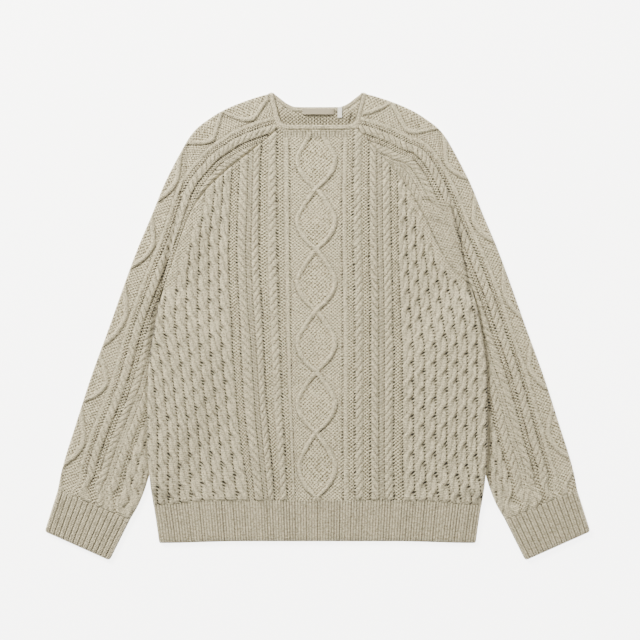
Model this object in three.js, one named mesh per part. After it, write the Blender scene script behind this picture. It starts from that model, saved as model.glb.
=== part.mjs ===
// A cable knit sweater lying flat, front upward, with its sleeves drawn down beside the body.
// Millimetres. X runs across the garment, Y from the hem to the neck, Z up from the table.
// Every piece is a closed wall of knitted cloth. The sleeves pass under the sides of the body.
import * as THREE from "three";

const WALL = 2.6;
const LAYER_GAP = 0.4;
const SEAM_GAP = 0.6;
const TUBE = 2 * WALL + LAYER_GAP;
const EDGE_DROP = 1.0;

// Heights of the raised stitches over the plain knit.
const CABLE_HIGH = 2.2;
const BAND_HIGH = 2.0;
const SEED_HIGH = 0.9;
const THIN_RIB_HIGH = 1.1;
const RIB_HIGH = 1.3;
const CABLE_SWAY = 1.7;

// One diamond is seven rows long, and a cable crosses once in two rows.
const DIAMOND = 95;
const ROWS_PER_DIAMOND = 7;
const ROW = DIAMOND / ROWS_PER_DIAMOND;
const DIAMOND_HALF = 27;
const BAND_WIDE = 8;
const BODY_CROSSING = 25;

const BODY_HALF = 265;
const HEM_TOP = -266.8;
const HEM_END = -335.9;
const ARMPIT_Y = 61;
const PEAK = { x: 69.5, y: 364 };
const UNDER_SLEEVE = 7.2;
const SIDE_RISE = 70;

const KNIT = { color: 0xbcb4a3, roughness: 0.92, metalness: 0 };
const RIB = { color: 0xb2ab9b, roughness: 0.93, metalness: 0 };
const LABEL = { color: 0xb5a58a, roughness: 0.7, metalness: 0 };
const TAB = { color: 0xe9e8e4, roughness: 0.6, metalness: 0 };

// Upright bands of the front, by distance from the middle.
const BODY_BANDS = [
  { at: 44, wide: 5, high: THIN_RIB_HIGH, sway: 0 },
  { at: 66.7, wide: 12.5, high: CABLE_HIGH, sway: CABLE_SWAY },
  { at: 92, wide: 11.5, high: CABLE_HIGH, sway: CABLE_SWAY },
  { at: 100.8, wide: 4.4, high: THIN_RIB_HIGH, sway: 0 },
  { at: 105.2, wide: 4.4, high: THIN_RIB_HIGH, sway: 0 },
  { at: 114, wide: 11.5, high: CABLE_HIGH, sway: CABLE_SWAY },
];
const SMALL_CABLES = { first: 140, step: 15.6, count: 8, high: 1.8 };

// Bands of a sleeve, by distance from the middle of its diamonds.
const SLEEVE_BANDS = [
  { at: 38.5, wide: 4.5, high: THIN_RIB_HIGH, sway: 0 },
  { at: 54, wide: 12, high: CABLE_HIGH, sway: CABLE_SWAY },
  { at: 75, wide: 11, high: CABLE_HIGH, sway: CABLE_SWAY },
  { at: 85, wide: 4.5, high: THIN_RIB_HIGH, sway: 0 },
  { at: 95, wide: 11, high: CABLE_HIGH, sway: CABLE_SWAY },
  { at: 114, wide: 13, high: CABLE_HIGH, sway: CABLE_SWAY },
  { at: 128, wide: 13, high: CABLE_HIGH, sway: CABLE_SWAY },
  { at: 142, wide: 13, high: CABLE_HIGH, sway: CABLE_SWAY },
];
// Where the diamond bands of a sleeve cross, by length from the cuff.
const SLEEVE_CROSSINGS = [-74, 46, 166, 271, 398, 504, 609, 705, 800];
// The sleeve lies a little twisted: how far its diamonds stand in from the outer edge.
const SLIDE = [
  { t: 0, slide: 0 },
  { t: 105, slide: -1 },
  { t: 218, slide: -5 },
  { t: 335, slide: -17 },
  { t: 420, slide: -13 },
  { t: 540, slide: -2 },
  { t: 650, slide: 6 },
  { t: 732, slide: 4 },
];

// Folded outer edge of a sleeve from the cuff to the neckband; lean is the heading of the
// courses from that edge, in degrees.
const OUTER_EDGE = [
  { x: 405.5, y: -256, lean: 202.7 },
  { x: 400, y: -228.1, lean: 201 },
  { x: 377.3, y: -153.1, lean: 198.5 },
  { x: 353.1, y: -78.1, lean: 199 },
  { x: 325.8, y: -3.1, lean: 200 },
  { x: 299.2, y: 71.9, lean: 201 },
  { x: 280.5, y: 121.9, lean: 202 },
  { x: 259.4, y: 171.9, lean: 203.5 },
  { x: 239, y: 221.9, lean: 206 },
  { x: 226.6, y: 246.9, lean: 209 },
  { x: 213.3, y: 271.9, lean: 213 },
  { x: 198.4, y: 296.9, lean: 221 },
  { x: 187.5, y: 309.4, lean: 227 },
  { x: 171.1, y: 321.9, lean: 234 },
  { x: 151.6, y: 334.4, lean: 239 },
  { x: 124.2, y: 346.9, lean: 245.5 },
  { x: 87.5, y: 359.4, lean: 252 },
  { x: 77.2, y: 362, lean: 255.6 },
];
// Side of the body from the hem rib to the armpit.
const BODY_SIDE = [
  { y: -266.8, x: 256 },
  { y: -253.1, x: 257.8 },
  { y: -228.1, x: 260.9 },
  { y: -178.1, x: 264.8 },
  { y: -76.6, x: 263.3 },
  { y: 15.6, x: 250.8 },
  { y: 61, x: 240 },
];
// Inner edge of a sleeve from the cuff to the armpit; the middle lies under the body.
const SLEEVE_INNER = [
  { y: -303, x: 293 },
  { y: -278.1, x: 278.9 },
  { y: -253.1, x: 268.8 },
  { y: -228.1, x: 261 },
  { y: -190, x: 245 },
  { y: -150, x: 228 },
  { y: -110, x: 212 },
  { y: -75, x: 201 },
  { y: -45, x: 198 },
  { y: -20, x: 205 },
  { y: 3, x: 222 },
  { y: 22, x: 239 },
  { y: 40, x: 247 },
  { y: 61, x: 240.6 },
];
// Seams between the sleeves and the panels, from the armpit to the neck.
const FRONT_SEAM = {
  right: [
    { y: 61, x: 240 },
    { y: 80, x: 219 },
    { y: 100, x: 203 },
    { y: 125, x: 188 },
    { y: 153, x: 175 },
    { y: 180, x: 162 },
    { y: 205, x: 148.5 },
    { y: 228, x: 133 },
    { y: 250, x: 115 },
    { y: 270, x: 96 },
    { y: 290, x: 77.5 },
    { y: 307.1, x: 63.1 },
  ],
  left: [
    { y: 61, x: 240 },
    { y: 88, x: 230 },
    { y: 115, x: 221 },
    { y: 150, x: 209 },
    { y: 180, x: 196 },
    { y: 205, x: 180 },
    { y: 225, x: 162 },
    { y: 243, x: 142 },
    { y: 258, x: 123 },
    { y: 275, x: 101 },
    { y: 290, x: 82.5 },
    { y: 307.1, x: 63.1 },
  ],
};
const BACK_SEAM = [
  { y: 61, x: 240 },
  { y: 100, x: 215 },
  { y: 150, x: 190 },
  { y: 200, x: 161 },
  { y: 250, x: 125 },
  { y: 295, x: 90 },
  { y: 340.8, x: 51 },
];
// Fold that runs up from each armpit; high is how far the cloth inside it stands up. Its step
// is steep near the armpit and wide above.
const FOLD = [
  { y: 61, x: 241, high: 0.3 },
  { y: 73.4, x: 238.3, high: 1.6 },
  { y: 106.3, x: 229.7, high: 4 },
  { y: 150, x: 221.6, high: 5 },
  { y: 185, x: 215, high: 4 },
  { y: 205, x: 210.5, high: 2.6 },
  { y: 225, x: 205.5, high: 1.3 },
  { y: 245, x: 200.5, high: 0.4 },
  { y: 262, x: 197, high: 0 },
];

const mix = (a, b, f) => a + (b - a) * f;
const clamp = (v, lo, hi) => Math.min(hi, Math.max(lo, v));
const ease = (f) => {
  const c = clamp(f, 0, 1);
  return c * c * (3 - 2 * c);
};

// A smooth curve through the rows of a table, without overshoot between them.
function curve(table, key, value) {
  const k = table.map((row) => row[key]);
  const v = table.map((row) => row[value]);
  const last = k.length - 1;
  const slope = k.slice(1).map((end, i) => (v[i + 1] - v[i]) / (end - k[i]));
  const tangent = k.map((_, i) => {
    if (i === 0) return slope[0];
    if (i === last) return slope[last - 1];
    const a = slope[i - 1];
    const b = slope[i];
    return a * b <= 0 ? 0 : (2 * a * b) / (a + b);
  });
  return (at) => {
    if (at <= k[0]) return v[0] + (at - k[0]) * tangent[0];
    if (at >= k[last]) return v[last] + (at - k[last]) * tangent[last];
    let i = 0;
    while (at > k[i + 1]) i += 1;
    const h = k[i + 1] - k[i];
    const f = (at - k[i]) / h;
    const f2 = f * f;
    const f3 = f2 * f;
    return (
      v[i] * (2 * f3 - 3 * f2 + 1) +
      tangent[i] * h * (f3 - 2 * f2 + f) +
      v[i + 1] * (3 * f2 - 2 * f3) +
      tangent[i + 1] * h * (f3 - f2)
    );
  };
}

const bodySide = curve(BODY_SIDE, "y", "x");
const sleeveInner = curve(SLEEVE_INNER, "y", "x");
const backSeam = curve(BACK_SEAM, "y", "x");
const foldX = curve(FOLD, "y", "x");
const foldHigh = curve(FOLD, "y", "high");
const sleeveSlide = curve(SLIDE, "t", "slide");
const frontSeam = {
  right: curve(FRONT_SEAM.right, "y", "x"),
  left: curve(FRONT_SEAM.left, "y", "x"),
};

// The outer edge by length from the cuff, with the heading of the courses.
let run = 0;
const EDGE = OUTER_EDGE.map((row, i) => {
  if (i > 0) run += Math.hypot(row.x - OUTER_EDGE[i - 1].x, row.y - OUTER_EDGE[i - 1].y);
  return { ...row, t: run };
});
const SLEEVE_LONG = run;
const edgeX = curve(EDGE, "t", "x");
const edgeY = curve(EDGE, "t", "y");
const edgeLean = curve(EDGE, "t", "lean");
const BACK_TURN = 38;

// Place on a sleeve, s from the outer edge and t up from the cuff; the back layer leans
// along the neckband at its top.
function sleevePlan(s, t, back) {
  const turn = back ? BACK_TURN * ease((t - 640) / (SLEEVE_LONG - 640)) : 0;
  const angle = ((edgeLean(t) - turn) * Math.PI) / 180;
  return [edgeX(t) + s * Math.cos(angle), edgeY(t) + s * Math.sin(angle)];
}

// Width of a sleeve layer at t: out to the underarm edge, or to the seam above the armpit.
function sleeveWide(t, seam, back) {
  const beyond = (s) => {
    const [x, y] = sleevePlan(s, t, back);
    const limit = y < ARMPIT_Y ? sleeveInner(y) : seam(y);
    return x < limit;
  };
  let low = 30;
  while (low < 200 && !beyond(low)) low += 2;
  low -= 2;
  let high = low + 2;
  for (let i = 0; i < 24; i += 1) {
    const middle = (low + high) / 2;
    if (beyond(middle)) high = middle;
    else low = middle;
  }
  return low;
}

// How far the sides of the body stand up over the sleeves under them.
function sideLift(x, y) {
  const along = ease((ARMPIT_Y - y) / 31) * ease((y + 264) / 27);
  const edge = sleeveInner(clamp(y, -240, ARMPIT_Y));
  return UNDER_SLEEVE * along * ease((Math.abs(x) - edge + SIDE_RISE + 10) / SIDE_RISE);
}

// How far the upper layer stands up inside the fold above each armpit.
function foldLift(x, y) {
  const at = clamp(y, ARMPIT_Y, 262);
  const inside = foldX(at) - Math.abs(x);
  const high = foldHigh(at) * ease((y - 30) / 31) * ease((262 - y) / 10);
  const step = 4.4 + 26 * ease((y - 165) / 45);
  return high * ease(inside / step + 0.5) * (1 - ease((inside - 8) / 62));
}

// Air under the middle of the front.
function puff(x, y) {
  const across = 1 - ease((Math.abs(x) - 60) / 120);
  return 1.6 * across * ease((y + 250) / 80) * ease((285 - y) / 90);
}

const frontLift = (x, y) => sideLift(x, y) + foldLift(x, y) + puff(x, y);

// Half width of the diamond bands at a distance from a crossing.
function diamondHalf(along) {
  const f = along / DIAMOND - Math.floor(along / DIAMOND);
  return DIAMOND_HALF * (1 - Math.abs(2 * f - 1));
}

// Lines of stitches across a row from the middle outward: s, height and a sway that shifts
// the crest of a cable from side to side.
function stitchLines(along, bands, swaySign) {
  const half = diamondHalf(along);
  const reach = BAND_WIDE / 2;
  const inner = Math.max(half - reach, 1.2);
  const crest = Math.max(half, 3);
  const crossing = half < 1.5 * reach;
  const lines = [
    { id: 0, s: 0, high: crossing ? BAND_HIGH : SEED_HIGH },
    { id: 1, s: inner, high: crossing ? BAND_HIGH : SEED_HIGH },
    { id: 2, s: crest, high: BAND_HIGH },
    { id: 3, s: Math.max(half + reach, 6.5), high: 0 },
    { id: 4, s: 36, high: 0 },
  ];
  const turn = Math.round(along / ROW) % 2 === 0 ? 1 : -1;
  bands.forEach((band) => {
    const from = band.at - band.wide / 2;
    const before = lines[lines.length - 1];
    if (from - before.s > 0.5) lines.push({ id: before.id + 1, s: from, high: 0 });
    const id = lines[lines.length - 1].id;
    lines.push({ id: id + 1, s: band.at + swaySign * turn * band.sway, high: band.high });
    lines.push({ id: id + 2, s: band.at + band.wide / 2, high: 0 });
  });
  return lines;
}

function bodyBands() {
  const small = [];
  for (let i = 0; i < SMALL_CABLES.count; i += 1) {
    const at = SMALL_CABLES.first + i * SMALL_CABLES.step;
    small.push({ at, wide: SMALL_CABLES.step, high: SMALL_CABLES.high, sway: CABLE_SWAY });
  }
  return [...BODY_BANDS, ...small];
}

// Joins rows of points into triangles, by the ids of the points along each row.
function stitchRows(rows, points, faces) {
  const index = rows.map((row) => row.map((p) => points.push(p.at) - 1));
  for (let j = 0; j + 1 < rows.length; j += 1) {
    const low = rows[j];
    const up = rows[j + 1];
    let a = 0;
    let b = 0;
    while (a + 1 < low.length || b + 1 < up.length) {
      const stepLow = a + 1 < low.length;
      const stepUp = b + 1 < up.length;
      const useLow = stepLow && (!stepUp || low[a + 1].id <= up[b + 1].id);
      if (useLow) {
        faces.push([index[j][a], index[j][a + 1], index[j + 1][b]]);
        a += 1;
      } else {
        faces.push([index[j][a], index[j + 1][b + 1], index[j + 1][b]]);
        b += 1;
      }
    }
  }
  return index;
}

// Joins two lines of points that run side by side, by how far along each point lies.
function stitchEdge(one, two, points, faces) {
  const reach = (line) => {
    const far = [0];
    for (let i = 1; i < line.length; i += 1) {
      const a = points[line[i - 1]];
      const b = points[line[i]];
      far.push(far[i - 1] + Math.hypot(b[0] - a[0], b[1] - a[1], b[2] - a[2]));
    }
    return far.map((f) => f / far[far.length - 1]);
  };
  const fa = reach(one);
  const fb = reach(two);
  let a = 0;
  let b = 0;
  while (a + 1 < one.length || b + 1 < two.length) {
    const useOne = a + 1 < one.length && (b + 1 >= two.length || fa[a + 1] <= fb[b + 1]);
    if (useOne) {
      faces.push([one[a], two[b], one[a + 1]]);
      a += 1;
    } else {
      faces.push([one[a], two[b], two[b + 1]]);
      b += 1;
    }
  }
}

const firsts = (index) => index.map((row) => row[0]);
const lasts = (index) => index.map((row) => row[row.length - 1]);

// A closed wall between an outer and an inner set of rows.
function wall(outer, inner) {
  const points = [];
  const faces = [];
  const out = stitchRows(outer, points, faces);
  const turned = [];
  const inn = stitchRows(inner, points, turned);
  const outTop = out[out.length - 1].slice().reverse();
  const innTop = inn[inn.length - 1].slice().reverse();
  turned.forEach(([a, b, c]) => faces.push([a, c, b]));
  stitchEdge(out[0], inn[0], points, faces);
  stitchEdge(lasts(out), lasts(inn), points, faces);
  stitchEdge(outTop, innTop, points, faces);
  stitchEdge(firsts(out).reverse(), firsts(inn).reverse(), points, faces);
  return { points, faces };
}

function volume(points, faces) {
  let sum = 0;
  faces.forEach(([a, b, c]) => {
    const [p, q, r] = [points[a], points[b], points[c]];
    sum += p[0] * (q[1] * r[2] - q[2] * r[1]);
    sum += p[1] * (q[2] * r[0] - q[0] * r[2]);
    sum += p[2] * (q[0] * r[1] - q[1] * r[0]);
  });
  return sum / 6;
}

function mesh(name, { points, faces }, look) {
  const flip = volume(points, faces) < 0;
  const geometry = new THREE.BufferGeometry();
  geometry.setAttribute("position", new THREE.Float32BufferAttribute(points.flat(), 3));
  geometry.setIndex(faces.flatMap(([a, b, c]) => (flip ? [a, c, b] : [a, b, c])));
  geometry.computeVertexNormals();
  const made = new THREE.Mesh(geometry, new THREE.MeshStandardMaterial(look));
  made.name = name;
  return made;
}

// Heights of the rows of a panel: every course, or every second one away from the armpits.
function panelRows(top, fine) {
  const rows = [HEM_TOP + SEAM_GAP];
  const first = BODY_CROSSING - 3 * DIAMOND;
  for (let k = 0; first + k * ROW < top - 4; k += 1) {
    const y = first + k * ROW;
    const near = y > -60 && y < 90;
    if (fine || near || k % 2 === 0) rows.push(y);
  }
  rows.push(top);
  return rows;
}

// Half width of a panel; its top row ends where the seam meets the neck.
const halfAt = (y, seam, corner) => {
  if (y < ARMPIT_Y) return bodySide(y);
  return seam(y === corner.row ? corner.y : y) - SEAM_GAP / 2;
};

// Across a panel the lines follow its side edge, and stay upright near the middle.
const spread = (s, y) => {
  const full = bodySide(Math.min(y, ARMPIT_Y));
  return s + (full - BODY_HALF) * (s / BODY_HALF) ** 3;
};

const FRONT_TOP = 305.6;
const BACK_TOP = 333.6;
const FRONT_CORNER = { row: FRONT_TOP, y: 307 };
const BACK_CORNER = { row: BACK_TOP, y: 340.4 };
const FRONT_NECK = { row: FRONT_TOP, at: (x) => FRONT_TOP + 1.4 * ease((Math.abs(x) - 40) / 22) };
const BACK_NECK = { row: BACK_TOP, at: (x) => BACK_TOP + 6.8 * ease((Math.abs(x) - 34) / 17) };

// One half of a row, from the middle to the side edge or the seam.
function halfRow(lines, y, half, sign, height, neck) {
  const kept = lines.filter((line) => spread(line.s, y) < half - 2.4);
  const last = kept[kept.length - 1];
  const row = kept.map((line) => ({ id: line.id, x: spread(line.s, y), high: line.high }));
  const next = lines[kept.length];
  const part = next ? (half - spread(last.s, y)) / (spread(next.s, y) - spread(last.s, y)) : 1;
  row.push({ id: last.id + clamp(part, 0.3, 1), x: half, high: 0, edge: true });
  return row.map((p) => {
    const x = sign * p.x;
    return { id: sign * p.id, at: [x, neck.row === y ? neck.at(x) : y, height(x, y, p)] };
  });
}

function fullRow(right, left) {
  return [...left.slice(1).reverse(), ...right];
}

const COARSE = [0, 60, 120, 150, 168, 186, 204, 222, 242, 265];
const NECK_LINES = [0, 20, 34, 38, 42, 46, 70];
const plainLines = (list) => list.map((s, id) => ({ id, s, high: 0 }));

function plainRows(ys, seams, height, neck, corner) {
  return ys.map((y) => {
    const lines = plainLines(y === neck.row ? NECK_LINES : COARSE);
    const right = halfRow(lines, y, halfAt(y, seams.right, corner), 1, height, neck);
    const left = halfRow(lines, y, halfAt(y, seams.left, corner), -1, height, neck);
    return fullRow(right, left);
  });
}

function frontPanel() {
  const bands = bodyBands();
  const base = TUBE;
  const height = (x, y, p) => base + frontLift(x, y) + (p.edge ? -EDGE_DROP : p.high);
  const outer = panelRows(FRONT_TOP, true).map((y) => {
    const along = y - BODY_CROSSING;
    const lines = stitchLines(along, bands, 1);
    const rightHalf = halfAt(y, frontSeam.right, FRONT_CORNER);
    const leftHalf = halfAt(y, frontSeam.left, FRONT_CORNER);
    const right = halfRow(lines, y, rightHalf, 1, height, FRONT_NECK);
    const left = halfRow(lines, y, leftHalf, -1, height, FRONT_NECK);
    return fullRow(right, left);
  });
  const under = (x, y) => WALL + LAYER_GAP + frontLift(x, y);
  const rows = panelRows(FRONT_TOP, false);
  const inner = plainRows(rows, frontSeam, under, FRONT_NECK, FRONT_CORNER);
  return wall(outer, inner);
}

function backPanel() {
  const seams = { right: backSeam, left: backSeam };
  const rows = panelRows(BACK_TOP, false);
  const top = plainRows(rows, seams, (x, y) => WALL + sideLift(x, y), BACK_NECK, BACK_CORNER);
  const under = plainRows(rows, seams, sideLift, BACK_NECK, BACK_CORNER);
  return wall(top, under);
}

// Cross-section of the folded edge: distance inward and height for a signed s.
function foldedEdge(s, thick) {
  const radius = TUBE / 2;
  const own = thick ? radius : LAYER_GAP / 2;
  if (Math.abs(s) >= radius) return { inward: Math.abs(s), z: radius + Math.sign(s) * own };
  const angle = (s / radius) * (Math.PI / 2);
  return { inward: radius - own * Math.cos(angle), z: radius + own * Math.sin(angle) };
}

const FOLD_STEPS = [-2.8, -1.4, 0, 1.4, 2.8];
const BACK_STEPS = [40, 90];

function sleeve(sideName) {
  const sign = sideName === "right" ? 1 : -1;
  const seam = frontSeam[sideName];
  const ts = [{ t: SEAM_GAP, row: 0 }];
  for (let row = 0; row < (SLEEVE_CROSSINGS.length - 1) * ROWS_PER_DIAMOND; row += 1) {
    const cell = Math.floor(row / ROWS_PER_DIAMOND);
    const f = row / ROWS_PER_DIAMOND - cell;
    const t = mix(SLEEVE_CROSSINGS[cell], SLEEVE_CROSSINGS[cell + 1], f);
    if (t > 5 && t < SLEEVE_LONG - 5) ts.push({ t, row });
  }
  ts[0].row = ts[1].row - 1;
  ts.push({ t: SLEEVE_LONG - SEAM_GAP, row: ts[ts.length - 1].row + 1 });
  const outer = [];
  const inner = [];
  ts.forEach(({ t, row }, j) => {
    const front = sleeveWide(t, seam, false) - SEAM_GAP / 2;
    const back = sleeveWide(t, backSeam, true) - SEAM_GAP / 2;
    const lines = sleeveLines(t, row, front);
    outer.push(sleeveRow(t, front, back, lines, sign, true));
    const coarse = j % 2 === 0 || j === ts.length - 1 || (t > 330 && t < 400);
    if (coarse) inner.push(sleeveRow(t, front, back, plainSleeveLines(t, front), sign, false));
  });
  return wall(outer, inner);
}

// Two lines that follow the fold, where the row meets it.
function foldLines(t) {
  for (let s = 20; s < 120; s += 0.5) {
    const [x, y] = sleevePlan(s, t, false);
    if (y > ARMPIT_Y && y < 180 && x < foldX(y)) return [s - 2.6, s + 2.6];
    if (y <= ARMPIT_Y) return [];
  }
  return [];
}

function withFold(lines, t, wide) {
  const extra = foldLines(t).filter((s) => s < wide - 3);
  const kept = lines.filter((line) => extra.every((s) => Math.abs(line.s - s) > 1.6));
  extra.forEach((s) => {
    const after = kept.findIndex((line) => line.s > s);
    if (after < 1) return;
    const a = kept[after - 1];
    const b = kept[after];
    const f = (s - a.s) / (b.s - a.s);
    kept.splice(after, 0, { id: mix(a.id, b.id, f), s, high: mix(a.high, b.high, f) });
  });
  return kept;
}

function sleeveLines(t, row, wide) {
  const slide = sleeveSlide(t);
  const lines = stitchLines(row * ROW, SLEEVE_BANDS, -1).filter((line) => line.s !== 36);
  lines.push({ id: lines[lines.length - 1].id + 1, s: 240, high: 0 });
  const placed = lines.map((line) => ({ ...line, id: line.id + 1, s: line.s + slide }));
  return withFold(placed.filter((line) => line.s > 4.5), t, wide);
}

function plainSleeveLines(t, wide) {
  const lines = [16, 36, 60, 85, 110, 240].map((s, i) => ({ id: 10 * i + 10, s, high: 0 }));
  return withFold(lines, t, wide);
}

// Raised stitches sink where the body lies on them.
function clearOfBody(x, y) {
  if (y > 45 || y < -262) return 1;
  return ease((Math.abs(x) - bodySide(y) - 1.5) / 7);
}

function sleeveRow(t, front, back, lines, sign, thick) {
  const row = [];
  const add = (id, s, high, isBack, edge) => {
    const shape = foldedEdge(isBack ? -s : s, thick);
    const [x, y] = sleevePlan(shape.inward, t, isBack);
    const lift = isBack ? 0 : sleeveLift(x, y);
    const raised = thick && !isBack ? high * clearOfBody(x, y) : 0;
    const drop = thick && !isBack && edge ? EDGE_DROP : 0;
    row.push({ id, at: [sign * x, y, shape.z + lift + raised - drop] });
  };
  add(-100, back, 0, true, true);
  BACK_STEPS.filter((s) => s < back - 6).reverse().forEach((s) => add(-s, s, 0, true, false));
  FOLD_STEPS.forEach((s) => {
    const shape = foldedEdge(s, thick);
    const [x, y] = sleevePlan(shape.inward, t, s < 0);
    row.push({ id: s / 10, at: [sign * x, y, shape.z] });
  });
  const kept = lines.filter((line) => line.s < front - 2.4);
  kept.forEach((line) => add(line.id, line.s, line.high, false, false));
  const last = kept[kept.length - 1];
  const next = lines[kept.length];
  const part = clamp((front - last.s) / (next.s - last.s), 0.3, 1);
  add(mix(last.id, next.id, part), front, 0, false, true);
  return row;
}

// The upper layer of a sleeve follows the front panel along their seam.
function sleeveLift(x, y) {
  return y > ARMPIT_Y - 31 ? foldLift(x, y) : 0;
}

// Straight ribbing between two curved ends: every rib is one crest and one valley.
function hemBand(front) {
  const ribs = 64;
  const rows = [HEM_TOP, mix(HEM_TOP, HEM_END, 0.5), HEM_END];
  const half = curve([
    { y: HEM_END, x: 246.9 },
    { y: -303, x: 250.8 },
    { y: HEM_TOP, x: 255.6 },
  ], "y", "x");
  const make = (steps, height) => rows.map((y) => steps.map((f, id) => {
    return { id, at: [f * half(y), y, height(f, y, id, steps.length - 1)] };
  }));
  const coarse = [-1, -0.5, 0, 0.5, 1];
  if (!front) return wall(make(coarse, () => WALL), make(coarse, () => 0));
  const fine = Array.from({ length: 2 * ribs + 1 }, (_, i) => i / ribs - 1);
  const ribbed = (f, y, id, last) => {
    if (id === 0 || id === last) return TUBE - EDGE_DROP;
    const crest = id % 2 === 1 ? RIB_HIGH / 2 : -RIB_HIGH / 2;
    return TUBE + (y === HEM_END ? crest * 0.6 - 0.4 : crest);
  };
  return wall(make(fine, ribbed), make(coarse, () => WALL + LAYER_GAP));
}

const CUFF = {
  top: { outer: [405.7, -256.7], inner: [293.3, -303.8] },
  end: { outer: [425.8, -320.3], inner: [324.2, -365.6] },
};

// A cuff is one ribbed strip folded at its outer edge, its ends meeting at the inner one.
function cuff(sideName) {
  const sign = sideName === "right" ? 1 : -1;
  const ribs = 12;
  const plan = (s, v) => {
    const a = CUFF.top.outer.map((c, i) => mix(c, CUFF.end.outer[i], v));
    const b = CUFF.top.inner.map((c, i) => mix(c, CUFF.end.inner[i], v));
    const wide = Math.hypot(b[0] - a[0], b[1] - a[1]);
    return a.map((c, i) => c + ((b[i] - c) * s) / wide);
  };
  const wideAt = (v) => {
    const a = plan(0, v);
    const b = CUFF.top.inner.map((c, i) => mix(c, CUFF.end.inner[i], v));
    return Math.hypot(b[0] - a[0], b[1] - a[1]);
  };
  const row = (v, steps, thick) => {
    const wide = wideAt(v);
    const made = [-wide, -wide / 2].map((s, i) => ({ id: i - 10, s, rib: 0 }));
    FOLD_STEPS.forEach((s) => made.push({ id: s / 10, s, rib: 0 }));
    for (let i = 1; i <= steps; i += 1) {
      const s = mix(TUBE / 2, wide, i / steps);
      const end = i === steps;
      const rib = i % 2 === 1 ? RIB_HIGH / 2 : -RIB_HIGH / 2;
      made.push({ id: 1 + (i / steps) * 100, s, rib: thick ? (end ? -EDGE_DROP : rib) : 0 });
    }
    return made.map(({ id, s, rib }) => {
      const shape = foldedEdge(s, thick);
      const [x, y] = plan(shape.inward, v);
      return { id, at: [sign * x, y, shape.z + rib] };
    });
  };
  const outer = [0, 0.5, 1].map((v) => row(v, 2 * ribs, true));
  const inner = [0, 0.5, 1].map((v) => row(v, 4, false));
  return wall(outer, inner);
}

// Stations of the right half of the neckband: a is its free edge, b its sewn edge.
const BACK_NECK_BAND = [
  { ax: 0, ay: 341.8, bx: 0, by: 334.1 },
  { ax: 18, ay: 341.8, bx: 18, by: 334.1 },
  { ax: 35, ay: 342.2, bx: 36.5, by: 334.8 },
  { ax: 41, ay: 344, bx: 46, by: 339.2 },
];
const FRONT_NECK_BAND = [
  { ax: 57, ay: 319.5, bx: 65.4, by: 314 },
  { ax: 52.5, ay: 315.6, bx: 62.4, by: 307.7 },
  { ax: 46, ay: 314, bx: 50, by: 306.5 },
  { ax: 30, ay: 313.8, bx: 30, by: 306.2 },
  { ax: 15, ay: 313.8, bx: 15, by: 306.2 },
  { ax: 0, ay: 313.8, bx: 0, by: 306.2 },
];

// The neckband is a ring that turns over at each shoulder with the sleeve under it.
function neckband() {
  const edgeTop = OUTER_EDGE[OUTER_EDGE.length - 1];
  const up = [PEAK.x - edgeTop.x, PEAK.y - edgeTop.y];
  const half = BACK_NECK_BAND.map((row) => ({ ...row, turn: -90 }));
  const shoulder = (s, turn) => {
    const back = turn < 0;
    const b = sleevePlan(s, SLEEVE_LONG, back);
    half.push({ ax: b[0] + up[0], ay: b[1] + up[1], bx: b[0], by: b[1], turn });
  };
  [26, 14, TUBE / 2].forEach((s) => shoulder(s, -90));
  [-45, 0, 45].forEach((turn) => shoulder(TUBE / 2, turn));
  [TUBE / 2, 14, 26, 38].forEach((s) => shoulder(s, 90));
  FRONT_NECK_BAND.forEach((row) => half.push({ ...row, turn: 90 }));
  const between = half.slice(1, -1).reverse();
  const mirrored = between.map((row) => ({ ...row, ax: -row.ax, bx: -row.bx, left: true }));
  const ring = [...half, ...mirrored];
  const points = [];
  ring.forEach((row) => {
    const turn = (row.turn * Math.PI) / 180;
    const side = row.left ? -1 : 1;
    const lean = (edgeLean(SLEEVE_LONG) * Math.PI) / 180;
    const flat = [-Math.cos(lean) * side, -Math.sin(lean)];
    const place = (f, depth) => {
      const x = mix(row.ax, row.bx, f) + flat[0] * Math.cos(turn) * depth;
      const y = mix(row.ay, row.by, f) + flat[1] * Math.cos(turn) * depth;
      points.push([x, y, TUBE / 2 + Math.sin(turn) * depth]);
    };
    const outerDepth = TUBE / 2;
    const roll = row.turn > 0 ? 1.2 : 0;
    place(0, outerDepth - 0.3);
    place(0.3, outerDepth + roll);
    place(0.7, outerDepth + roll);
    place(0.9, outerDepth - 0.1);
    place(0.9, LAYER_GAP / 2);
    place(0, LAYER_GAP / 2);
  });
  const around = 6;
  const faces = [];
  ring.forEach((_, i) => {
    const j = (i + 1) % ring.length;
    for (let k = 0; k < around; k += 1) {
      const n = (k + 1) % around;
      faces.push([i * around + k, j * around + k, j * around + n]);
      faces.push([i * around + k, j * around + n, i * around + n]);
    }
  });
  return { points, faces };
}

function tag(name, box, look) {
  const geometry = new THREE.BoxGeometry(box.wide, box.long, box.thick);
  geometry.translate(box.x, box.y, WALL + 0.35 + box.thick / 2);
  const made = new THREE.Mesh(geometry, new THREE.MeshStandardMaterial(look));
  made.name = name;
  return made;
}

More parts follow.
